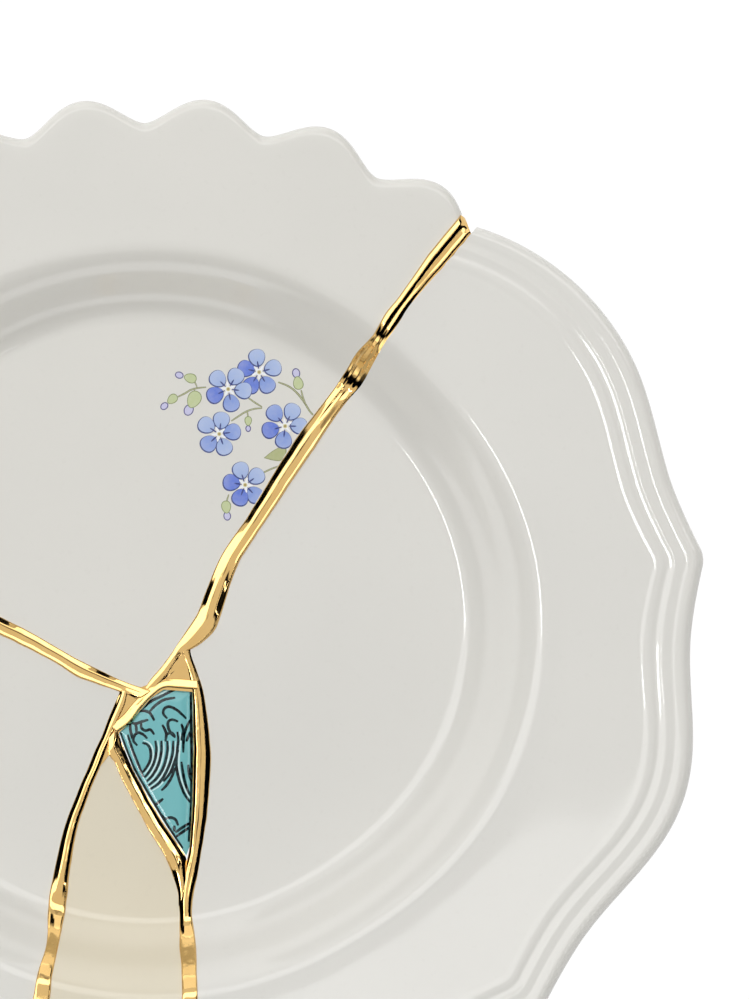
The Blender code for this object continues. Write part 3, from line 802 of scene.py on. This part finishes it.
def teal_piece():
    """The small shard: a sheet whose glaze falls away a little at its broken edge."""
    corner = np.array(TEAL_OUTLINE)
    dense = []
    for start, end in zip(corner, np.roll(corner, -1, axis=0)):
        count = max(2, round(np.linalg.norm(end - start) / TEAL_EDGE_STEP))
        dense += [start + (end - start) * step / count for step in range(count)]
    outline = np.array(dense)
    closed = np.vstack([outline, outline[:1]])
    points, links, loops = [], [], []
    add_loop(points, links, outline)
    for depth in TEAL_RINGS:
        for point in inset(closed, depth)[:-1]:
            if distances(point[None], closed)[0] > depth * 0.96 and inside(point[None], outline)[0]:
                points.append(Vector(point))
    for line, colour in teal_lines():
        line = line[inside(line, outline) & (distances(line, closed) >= TEAL_LINE_GAP)]
        if len(line):
            loops.append((line, colour))
            add_loop(points, links, line)
    flat, _, corners, middles = triangulated(points, links)
    within = inside(middles, outline)
    corners = corners[within].tolist()
    owner = owners(middles[within], loops)
    fall = np.clip(1.0 - distances(flat, closed) / TEAL_EDGE_RUN, 0.0, 1.0)
    top = FLOOR_TOP - TEAL_EDGE_DROP * MM * fall**2
    bm = bmesh.new()
    used = sorted(set(sum(corners, [])))
    upper = {index: bm.verts.new((*(flat[index] * MM), top[index])) for index in used}
    layer = bm.loops.layers.float_color.new("paint")
    for number, triangle in enumerate(corners):
        face = bm.faces.new([upper[index] for index in triangle])
        colour = loops[owner[number]][1] if owner[number] >= 0 else None
        paint_face(face, layer, flat[triangle], colour, (0.0, 0.0, 0.0))
    rim = [edge for edge in bm.edges if len(edge.link_faces) == 1]
    raised = bmesh.ops.extrude_edge_only(bm, edges=rim)["geom"]
    low = [item for item in raised if isinstance(item, bmesh.types.BMVert)]
    for vert in low:
        vert.co.z = FOOT_HEIGHT
    bmesh.ops.contextual_create(bm, geom=[item for item in raised if isinstance(item, bmesh.types.BMEdge)
                                          and all(vert in low for vert in item.verts)])
    return placed(bpy.data.objects.new("teal_porcelain", closed_mesh(bm, "teal_porcelain")))


# The gold: rails with a profile that changes along them, and a flat fill where they meet.
# A profile is a row of bands across the rail: share of its width, slope in degrees, upwards
# from the first edge. What is left of the width falls back to the glaze.
PROFILES = {
    "roof": ((0.03, 72), (0.40, 11), (0.05, -8), (0.32, -1), (0.12, -5)),
    "steep": ((0.02, 60), (0.22, 30), (0.13, 12), (0.05, -8), (0.25, -1), (0.28, -20)),
    "ledge": ((0.03, 70), (0.44, 10), (0.05, -9), (0.25, -1), (0.12, 8), (0.06, -30)),
    "blade": ((0.03, 60), (0.26, 28), (0.15, 12), (0.05, -10), (0.30, -2), (0.12, 8)),
    "brow": ((0.03, 72), (0.28, 12), (0.10, -16), (0.10, 10), (0.40, -2)),
    "split": ((0.03, 60), (0.17, -14), (0.12, 24), (0.28, -18), (0.18, 14), (0.14, -2)),
    "rail": ((0.05, 75), (0.25, 14), (0.26, -25), (0.16, 14), (0.19, -27)),
    "double": ((0.05, 74), (0.23, 14), (0.20, -25), (0.19, 1), (0.13, 13), (0.12, -28)),
    "flat": ((0.04, 76), (0.12, 10), (0.70, 0), (0.08, -8)),
    "upper": ((0.04, 72), (0.30, 12), (0.08, -33), (0.28, 1), (0.20, 9)),
    "upper_steep": ((0.03, 60), (0.27, 30), (0.06, 12), (0.08, -32), (0.26, 1), (0.20, 8)),
    "left": ((0.03, 60), (0.31, 30), (0.12, 12), (0.12, -4), (0.10, 9), (0.23, -22)),
    "shelf": ((0.03, 60), (0.32, 30), (0.18, 12), (0.28, 0), (0.06, -8)),
    "outer": ((0.03, 60), (0.17, 30), (0.20, 12), (0.06, -10), (0.12, 0), (0.10, 9), (0.29, -24)),
    "inner": ((0.06, 75), (0.37, 2), (0.07, -9), (0.24, -18), (0.16, -34)),
    "crest": ((0.06, 74), (0.64, 14), (0.12, 0)),
    "thin": ((0.05, 74), (0.30, 11), (0.30, -1), (0.08, -14)),
}
PROFILE_COLUMNS = 41
PROFILE_SOFTNESS = 0.016
FULL_WIDTH = 3.2
PATH_STEP = 0.05
RAIL_STEP = 0.28
RIM_ROWS, RIM_FINE_ROWS, RIM_CROWDING = 8, 26, 1.6
SWING = 0.05
SWING_PITCHES = (2.3, 1.9)
LIVELINESS = 0.014
LIVELY_PITCHES = (3.1, 2.7, 3.3, 2.1)
GOLD_EDGE = 0.06
GOLD_UNDER = 0.0003
CORE_GAP = 0.35
CORE_TOP = -0.0004
CORE_BOTTOM = -0.0002
FILL_HEIGHT = 0.00018
RIM_COAT = 0.00035
UNDERSIDE = (  # place across the rail from 1 to -1, depth under the porcelain
    (0.86, -0.00005), (0.8, 0.00016), (0.5, GOLD_UNDER), (0.0, GOLD_UNDER), (-0.5, GOLD_UNDER),
    (-0.8, 0.00016), (-0.86, -0.00005),
)


def stations(profile, *edges):
    """Stations of one profile. Each is x and y of its first edge, then of its second."""
    return [((x0, y0), (x1, y1), profile) for x0, y0, x1, y1 in edges]


def seam_pairs(seam, first_side, names, start=0):
    """Stations of a seam, as (first edge, second edge, profile)."""
    one = seam_side(seam, first_side)[start:]
    two = seam_side(seam, -first_side)[start:]
    return list(zip(one, two, names.split(), strict=True))


MAIN_RAIL = stations(
    "thin", (-1.0, -12.0, -0.4, -12.7), (0.0, -10.31, 1.37, -11.68), (1.72, -8.25, 3.09, -9.9),
    (3.44, -6.01, 4.75, -7.3),
) + stations(
    "roof", (4.4, -4.6, 5.6, -5.8), (5.15, -3.44, 7.3, -4.95), (6.3, -1.7, 9.1, -3.85),
    (7.3, -0.2, 10.6, -2.4),
) + seam_pairs(UPPER_RIGHT_SEAM, 1, 
    "roof steep ledge blade blade blade brow split split rail rail rail double double flat", start=1)
LEFT_RAIL = stations("thin", (0.2, -12.1, -2.6, -13.8)) + seam_pairs(
    LEFT_SEAM, -1, "upper upper upper upper upper_steep upper rail upper double")
LEFT_RAIL[2:2] = stations("upper_steep", (-8.14, -8.89, -9.06, -11.11))
LOWER_LEFT_RAIL = stations(
    "shelf", (-5.2, -12.2, -3.8, -12.3), (-6.01, -14.09, -4.3, -14.6), (-7.22, -16.84, -5.6, -17.6),
) + stations(
    "left", (-8.3, -19.76, -6.6, -20.3), (-9.5, -22.34, -7.6, -22.6), (-10.9, -25.77, -8.7, -25.6),
) + seam_pairs(LOWER_LEFT_SEAM, -1, "left left left flat flat flat flat left flat flat")
LOWER_RIGHT_RAIL = stations("thin", (5.4, -4.3, 6.7, -3.9), (5.9, -6.6, 7.15, -6.25)) + stations(
    "outer", (6.6, -9.6, 8.08, -8.93), (7.2, -12.6, 9.11, -12.03), (7.3, -16.5, 9.79, -16.32),
    (7.35, -20.62, 10.31, -20.62), (7.35, -24.05, 10.48, -24.05), (7.15, -31.8, 9.97, -31.79),
    (6.95, -36.1, 9.45, -36.08), (6.6, -40.0, 8.76, -40.38), (5.7, -43.6, 8.1, -44.2),
) + seam_pairs(LOWER_RIGHT_SEAM, -1, "left left flat flat flat left flat")
CREAM_RAIL = stations("flat", (-7.3, -20.6, -5.6, -18.5)) + stations(
    "inner", (-7.22, -23.1, -5.1, -20.6), (-6.2, -24.6, -4.3, -22.6), (-4.98, -27.49, -2.85, -26.0),
    (-3.44, -30.3, -1.4, -28.7), (-1.9, -33.3, 0.2, -31.6), (-0.34, -36.2, 2.4, -35.2),
    (1.37, -38.8, 4.2, -37.8), (2.58, -41.0, 6.0, -40.6),
) + stations("left", (3.78, -43.81, 6.3, -43.4), (4.7, -46.9, 6.3, -46.6), (4.85, -49.2, 6.2, -49.0))
TEAL_RAIL = stations(
    "crest", (-6.9, -18.1, -5.4, -19.25), (-4.8, -16.4, -3.2, -17.6), (-3.1, -14.4, -1.65, -15.45),
    (-0.8, -12.2, 0.45, -13.15), (1.9, -10.3, 2.4, -11.8), (4.8, -10.1, 4.9, -11.9),
    (8.0, -10.4, 8.1, -12.1),
)
FILL_OUTLINE = (
    (5.9, -5.1), (6.6, -9.0), (7.3, -12.4), (2.3, -12.0), (0.3, -13.3), (-1.8, -15.6),
    (-3.4, -17.6), (-5.4, -19.4), (-6.2, -22.6), (-7.2, -23.4), (-8.6, -25.2), (-8.2, -21.0),
    (-6.4, -17.2), (-5.6, -13.3), (-4.6, -12.2), (-2.8, -12.0), (1.2, -10.6), (3.0, -8.5),
    (4.3, -6.9),
)


def wobble(place, seed, pitch):
    """Smooth variation between -1 and 1 along a line, the same on every run."""
    random = np.random.default_rng(seed)
    knots = random.uniform(-1.0, 1.0, 400)
    at = place / pitch
    low = np.floor(at).astype(int)
    share = at - low
    share = share * share * (3.0 - 2.0 * share)
    return knots[low] * (1.0 - share) + knots[low + 1] * share


def profile_heights(name, width):
    """Heights in millimetres at even places across a rail of this width."""
    ends, heights = [0.0], [-GOLD_EDGE]
    for share, slope in PROFILES[name]:
        ends.append(ends[-1] + share)
        heights.append(heights[-1] + share * width * math.tan(math.radians(slope)))
    ends.append(1.0)
    heights.append(-GOLD_EDGE)
    fine = np.linspace(0.0, 1.0, 401)
    sharp = np.interp(fine, ends, heights)
    reach = np.arange(-24, 25) / 400.0
    weight = np.exp(-0.5 * (reach / PROFILE_SOFTNESS) ** 2)
    padded = np.pad(sharp, 24, mode="reflect", reflect_type="odd")
    soft = np.convolve(padded, weight / weight.sum(), mode="valid")
    return np.interp(np.linspace(0.0, 1.0, PROFILE_COLUMNS), fine, soft)


def coat(points, centre, lift=None, sink=None):
    """Points with their heights: lift above the glaze, or sink below the underside.

    Past the radius centre both sides bend round the rim's edge.
    """
    far = np.linalg.norm(points, axis=2)
    turn = azimuth_of(points)
    half = THICKNESS / 2.0
    within = np.minimum(far, centre)
    middle = top_height(centre, turn) - half
    share = np.clip((far - centre) / (half + RIM_COAT), 0.0, 1.0)
    drop = np.sqrt(np.maximum(1.0 - share**2, 0.0))
    if sink is None:
        height = np.where(far <= centre, top_height(within, turn) + lift, middle + (half + lift) * drop)
    else:
        low = np.maximum(base_height(within, turn) - sink, 0.0)
        height = np.where(far <= centre, low, middle - (half + sink) * drop)
    return np.concatenate([points, height[..., None]], axis=2)


def rail(name, stations_along, rims, seed):
    """One closed rail of gold from its stations. rims are the outlines at its outer end, or None."""
    rows = []
    for first, second, profile in stations_along:
        middle = [(a + b) / 2.0 for a, b in zip(first, second)]
        rows.append([*middle, *first, *second, *profile_heights(profile, math.dist(first, second))])
    path = spline(rows, PATH_STEP)
    length = len(path)
    place = np.arange(length) * PATH_STEP
    reach = np.linalg.norm(path[:, 4:6] - path[:, 2:4], axis=1)
    swing = SWING * np.minimum(reach / FULL_WIDTH, 1.0)
    across = (path[:, 4:6] - path[:, 2:4]) / reach[:, None]
    for side, pitch in enumerate(SWING_PITCHES):
        path[:, 2 + 2 * side:4 + 2 * side] += across * (swing * wobble(place, seed + side, pitch))[:, None]
    mix = (np.linspace(-1.0, 1.0, PROFILE_COLUMNS) + 1.0) / 2.0
    inner = np.sin(np.pi * mix) ** 0.7
    lively = sum(np.outer(wobble(place, seed + 10 + knot, pitch), np.cos(math.pi * knot * mix))
                 for knot, pitch in enumerate(LIVELY_PITCHES))
    heights = (path[:, 6:] + LIVELINESS * inner[None, :] * lively) * MM
    lanes = (path[:, None, 2:4] + (path[:, None, 4:6] - path[:, None, 2:4]) * mix[None, :, None]) * MM
    rim = np.full(heights.shape, 1.0)
    ends = np.full(PROFILE_COLUMNS, length - 1.0)
    shares = np.linspace(0.0, 1.0, max(8, round(place[-1] / RAIL_STEP)) + 1)
    if rims:
        azimuth = azimuth_of(lanes)
        one, two = rims[0](azimuth), rims[1](azimuth)
        rim = one * (1.0 - mix[None, :]) + two * mix[None, :]
        past = np.linalg.norm(lanes, axis=2) > np.minimum(np.minimum(one, two) + SEAM_PROUD, rim + RIM_COAT)
        ends = np.argmax(past, axis=0) - 1.0
        crowded = 1.0 - np.linspace(1.0, 0.0, RIM_FINE_ROWS) ** RIM_CROWDING
        turned = shares[-RIM_ROWS]
        shares = np.concatenate([shares[:-RIM_ROWS], turned + (1.0 - turned) * crowded])
    order = shares[:, None] * ends[None, :]
    low = np.clip(np.floor(order).astype(int), 0, length - 2)
    part = order - low

    def taken(values):
        column = np.arange(PROFILE_COLUMNS)[None, :]
        first, second = values[low, column], values[low + 1, column]
        return first + (second - first) * (part[..., None] if values.ndim == 3 else part)

    plan, lift, edge = taken(lanes), taken(heights), taken(rim)
    centre = np.minimum(edge - THICKNESS / 2.0, 0.99)
    between = (centre[:, :1] + centre[:, -1:]) / 2.0
    first, last = plan[:, :1], plan[:, -1:]
    width = np.linalg.norm(plan[:, -1] - plan[:, 0], axis=1)
    core = np.clip(1.0 - 2.0 * CORE_GAP * MM / np.maximum(width, 1e-6), 0.2, 0.9)[:, None, None]

    def lane(at, **height):
        return coat((first + last) / 2.0 + (last - first) / 2.0 * at, between, **height)

    parts = [coat(plan, centre, lift=lift), lane(core, lift=CORE_TOP), lane(core, sink=CORE_BOTTOM)]
    parts += [lane(at, sink=sink) for at, sink in UNDERSIDE]
    parts += [lane(-core, sink=CORE_BOTTOM), lane(-core, lift=CORE_TOP)]
    rings = np.concatenate(parts, axis=1)
    rows_made, around, _ = rings.shape
    grid = np.arange(rows_made * around).reshape(rows_made, around)
    beside = np.roll(grid, -1, axis=1)
    faces = np.stack([grid[:-1], beside[:-1], beside[1:], grid[1:]], axis=-1).reshape(-1, 4).tolist()
    faces.append(grid[0][::-1].tolist())
    faces.append(grid[-1].tolist())
    made = mesh_object(name, rings.reshape(-1, 3), faces)
    outward(made)
    return made


def gold_fill():
    """The flat gold where the rails meet."""
    outline = np.array(FILL_OUTLINE) * MM
    made = upright_slab("gold_fill", outline, FOOT_HEIGHT - GOLD_UNDER, FLOOR_TOP + FILL_HEIGHT)
    outward(made)
    return made


def keep_network(made):
    """Drops crumbs that the unions leave loose: what hangs together with the outermost point stays."""
    shell = bmesh.new()
    shell.from_mesh(made.data)
    found = [max(shell.verts, key=lambda vert: vert.co.length)]
    known = set(found)
    for point in found:
        for edge in point.link_edges:
            other = edge.other_vert(point)
            if other not in known:
                known.add(other)
                found.append(other)
    bmesh.ops.delete(shell, geom=[vert for vert in shell.verts if vert not in known], context="VERTS")
    shell.to_mesh(made.data)
    shell.free()


def gold_piece():
    made = rail("main_rail", MAIN_RAIL, (scalloped_outline, lobed_outline), 3)
    others = [
        rail("left_rail", LEFT_RAIL, (scalloped_outline, mirrored_outline), 105),
        rail("lower_left_rail", LOWER_LEFT_RAIL, (mirrored_outline, cream_outline), 207),
        rail("lower_right_rail", LOWER_RIGHT_RAIL, (cream_outline, lobed_outline), 309),
        rail("cream_rail", CREAM_RAIL, None, 411),
        rail("teal_rail", TEAL_RAIL, None, 513),
        gold_fill(),
    ]
    for other in others:
        combined(made, other, "UNION")
    keep_network(made)
    return made


# Materials
BUMP_DEPTH = 0.0004
MIX_FIRST, MIX_SECOND, MIX_RESULT = 6, 7, 2
SPECK = (0.30, 0.27, 0.22)
GOLD, GOLD_SHADE = (0.78, 0.515, 0.20), (0.75, 0.485, 0.178)

def new_material(name):
    made = bpy.data.materials.new(name)
    made.use_nodes = True
    return made, made.node_tree, made.node_tree.nodes["Principled BSDF"]


def node(tree, kind, inputs, **settings):
    """A new shader node. Each input is a value or the socket that feeds it."""
    made = tree.nodes.new("ShaderNode" + kind)
    for name, value in settings.items():
        setattr(made, name, value)
    for key, value in inputs.items():
        if isinstance(value, bpy.types.NodeSocket):
            tree.links.new(value, made.inputs[key])
        else:
            made.inputs[key].default_value = value
    return made


def noise(tree, scale, detail=3.0):
    place = tree.nodes.new("ShaderNodeTexCoord").outputs["Object"]
    return node(tree, "TexNoise", {"Vector": place, "Scale": scale, "Detail": detail}).outputs["Fac"]


def ramp(tree, source, low, high, start, end):
    inputs = {"Value": source, "From Min": start, "From Max": end, "To Min": low, "To Max": high}
    return node(tree, "MapRange", inputs).outputs["Result"]


def blend(tree, factor, first, second):
    """Colour between first and second. Each is a colour or a socket."""
    first, second = [(*value, 1.0) if isinstance(value, tuple) else value for value in (first, second)]
    inputs = {0: factor, MIX_FIRST: first, MIX_SECOND: second}
    return node(tree, "Mix", inputs, data_type="RGBA").outputs[MIX_RESULT]


def bump(tree, source, strength):
    inputs = {"Height": source, "Strength": strength, "Distance": BUMP_DEPTH}
    return node(tree, "Bump", inputs).outputs["Normal"]


def glaze(name, colour, shade, roughness, painted=False, gloss=1.5):
    """Glazed porcelain: a faintly uneven colour and a smooth, slightly rippled gloss."""
    made, tree, shader = new_material(name)
    cloud = noise(tree, 26.0, 4.0)
    grain = noise(tree, 900.0, 2.0)
    base = blend(tree, ramp(tree, cloud, 0.0, 1.0, 0.35, 0.65), colour, shade)
    speck = ramp(tree, grain, 0.0, 0.06, 0.62, 0.75)
    base = blend(tree, speck, base, towards(colour, SPECK, 0.5))
    if painted:
        paint = tree.nodes.new("ShaderNodeVertexColor")
        paint.layer_name = "paint"
        wash = noise(tree, 1400.0, 3.0)
        tint = blend(tree, ramp(tree, wash, 0.0, 0.10, 0.4, 0.7), paint.outputs["Color"], base)
        base = blend(tree, paint.outputs["Alpha"], base, tint)
    sheen = ramp(tree, noise(tree, 60.0), roughness * 0.8, roughness * 1.3, 0.3, 0.7)
    tree.links.new(base, shader.inputs["Base Color"])
    tree.links.new(sheen, shader.inputs["Roughness"])
    tree.links.new(bump(tree, noise(tree, 160.0, 2.0), 0.05), shader.inputs["Normal"])
    shader.inputs["IOR"].default_value = gloss
    return made


def gold_material():
    made, tree, shader = new_material("kintsugi_gold")
    tone = blend(tree, ramp(tree, noise(tree, 240.0), 0.0, 1.0, 0.35, 0.7), GOLD, GOLD_SHADE)
    tree.links.new(tone, shader.inputs["Base Color"])
    shader.inputs["Metallic"].default_value = 1.0
    tree.links.new(ramp(tree, noise(tree, 700.0), 0.05, 0.11, 0.3, 0.7), shader.inputs["Roughness"])
    tree.links.new(bump(tree, noise(tree, 420.0, 2.0), 0.10), shader.inputs["Normal"])
    return made


# The pieces

WHITE, WHITE_SHADE = (0.735, 0.720, 0.672), (0.715, 0.702, 0.655)
CREAM, CREAM_SHADE = (0.735, 0.674, 0.533), (0.715, 0.654, 0.513)
TEAL, TEAL_SHADE = (0.165, 0.470, 0.500), (0.185, 0.500, 0.520)

LEFT_WHITE, LEFT_WHITE_SHADE = (0.730, 0.716, 0.668), (0.712, 0.700, 0.655)
LOBED_WHITE, LOBED_WHITE_SHADE = (0.740, 0.728, 0.684), (0.722, 0.710, 0.668)
PAINTED = "scalloped_shard"
LOOKS = {
    PAINTED: ("painted_porcelain", "scalloped_glaze", WHITE, WHITE_SHADE, 0.06),
    "left_shard": ("white_porcelain", "left_glaze", LEFT_WHITE, LEFT_WHITE_SHADE, 0.06),
    "cream_shard": ("cream_porcelain", "cream_glaze", CREAM, CREAM_SHADE, 0.07),
    "lobed_shard": ("white_porcelain", "lobed_glaze", LOBED_WHITE, LOBED_WHITE_SHADE, 0.06),
}
for name, (slot, *look) in LOOKS.items():
    piece = rim_shard(name)
    if name == PAINTED:
        painted_sheet(piece, FLOOR_TOP, flower_shapes(), WHITE, broken_edge(name))
    material = glaze(*look, painted=name == PAINTED)
    finish_piece(piece, name.replace("_shard", "_porcelain"), name, material)

finish_piece(teal_piece(), "teal_porcelain", "teal_shard",
             glaze("teal_glaze", TEAL, TEAL_SHADE, 0.06, painted=True, gloss=1.36))
finish_piece(gold_piece(), "kintsugi_gold", "gold_seam", gold_material())

# Floor, lights and camera

def emitter(name, strength):
    made = bpy.data.materials.new(name)
    made.use_nodes = True
    tree = made.node_tree
    tree.nodes.clear()
    glow = node(tree, "Emission", {"Color": (1.0, 1.0, 1.0, 1.0), "Strength": strength})
    node(tree, "OutputMaterial", {"Surface": glow.outputs["Emission"]})
    return made


def panel(name, azimuth, away, length, width, radiance, height=1.0):
    """Soft light overhead: away is how far its middle lies from the axis, length is across that way."""
    lamp = bpy.data.lights.new(name, "AREA")
    lamp.shape = "RECTANGLE"
    lamp.size = width
    lamp.size_y = length
    lamp.energy = radiance * math.pi * length * width
    made = placed(bpy.data.objects.new(name, lamp))
    turn = math.radians(azimuth)
    made.matrix_world = (Matrix.Translation((away * math.cos(turn), away * math.sin(turn), height))
                         @ Matrix.Rotation(turn, 4, "Z"))
    made.visible_camera = False
    return made


def slab_light(name, left, right, bottom, top, radiance, height):
    """Rectangular light overhead between these sides."""
    made = panel(name, 0.0, 0.0, top - bottom, right - left, radiance, height)
    made.location = ((left + right) / 2.0, (bottom + top) / 2.0, height)


SIDE_LIGHT_PLACE = (-0.025, 1.45, 0.72)
SIDE_LIGHT_TILT = -65.0
slab_light("base_light", -1.10, 0.18, -1.10, 1.25, radiance=0.49, height=1.05)
slab_light("wide_light", -1.10, 0.26, -1.25, 1.25, radiance=0.42, height=1.04)
slab_light("corner_light", 0.26, 0.95, 0.30, 1.25, radiance=0.75, height=1.03)
panel("key_light", 105.0, 0.37, length=1.8, width=0.48, radiance=1.95, height=1.02)
side_light = panel("side_light", 90.0, 0.0, length=0.8, width=1.05, radiance=1.30)
side_light.matrix_world = (Matrix.Translation(SIDE_LIGHT_PLACE)
                           @ Matrix.Rotation(math.radians(SIDE_LIGHT_TILT), 4, "X"))
panel("strip_light", 198.0, 0.56, length=0.38, width=0.09, radiance=16.0, height=1.00)
panel("edge_light", -15.0, 0.52, length=1.20, width=0.05, radiance=6.0, height=0.99)

FLOOR_SIDE = 30
FLOOR_GLOW = 1.02
FLOOR_GAP = 0.0004
floor = mesh_object("floor", [(-FLOOR_SIDE, -FLOOR_SIDE, 0), (FLOOR_SIDE, -FLOOR_SIDE, 0),
                              (FLOOR_SIDE, FLOOR_SIDE, 0), (-FLOOR_SIDE, FLOOR_SIDE, 0)], [(0, 1, 2, 3)])
floor.location.z = -FLOOR_GAP
floor.data.materials.append(emitter("floor_white", FLOOR_GLOW))

world = bpy.data.worlds.new("studio")
bpy.context.scene.world = world
world.use_nodes = True
sky = world.node_tree
direction = sky.nodes.new("ShaderNodeTexCoord").outputs["Generated"]
background = sky.nodes["Background"]
BRIGHT_AZIMUTH, DARK_AZIMUTH, FRONT_AZIMUTH = 110.0, -129.0, -105.0


def facing(azimuth):
    """How far the sky's direction turns to an azimuth: 1 there and -1 opposite."""
    turn = math.radians(azimuth)
    inputs = {0: direction, 1: (math.cos(turn), math.sin(turn), 0.0)}
    return node(sky, "VectorMath", inputs, operation="DOT_PRODUCT").outputs["Value"]


def reckoned(operation, first, second):
    return node(sky, "Math", {0: first, 1: second}, operation=operation).outputs["Value"]


rise = node(sky, "SeparateXYZ", {"Vector": direction}).outputs["Z"]
low_band = ramp(sky, rise, 1.0, 0.0, 0.16, 0.27)
opening = reckoned("MULTIPLY", low_band, ramp(sky, facing(DARK_AZIMUTH), 1.0, 0.05, 0.92, 0.97))
side = reckoned("POWER", ramp(sky, facing(BRIGHT_AZIMUTH), 0.0, 1.0, -1.0, 1.0), 1.5)
front = ramp(sky, facing(FRONT_AZIMUTH), 0.0, 1.0, 0.0, 1.0)
both = reckoned("ADD", ramp(sky, side, 0.95, 1.25, 0.0, 1.0), front)
sky.links.new(reckoned("MULTIPLY", opening, both), background.inputs["Strength"])
background.inputs["Color"].default_value = (1.0, 1.0, 1.0, 1.0)

VIEW_CENTRE = (0.03857, 0.02070)
VIEW_HEIGHT = 0.17165
VIEW_PLANE = 0.0120
CAMERA_DISTANCE = 4.5
SENSOR = 36.0
CLIP = (0.1, 100.0)
lens = bpy.data.cameras.new("camera")
lens.sensor_width = SENSOR
lens.lens = SENSOR * CAMERA_DISTANCE / VIEW_HEIGHT
lens.clip_start, lens.clip_end = CLIP
camera = placed(bpy.data.objects.new("camera", lens))
camera.location = (*VIEW_CENTRE, VIEW_PLANE + CAMERA_DISTANCE)
bpy.context.scene.camera = camera
bpy.context.scene.view_settings.view_transform = "Standard"
bpy.context.view_layer.update()
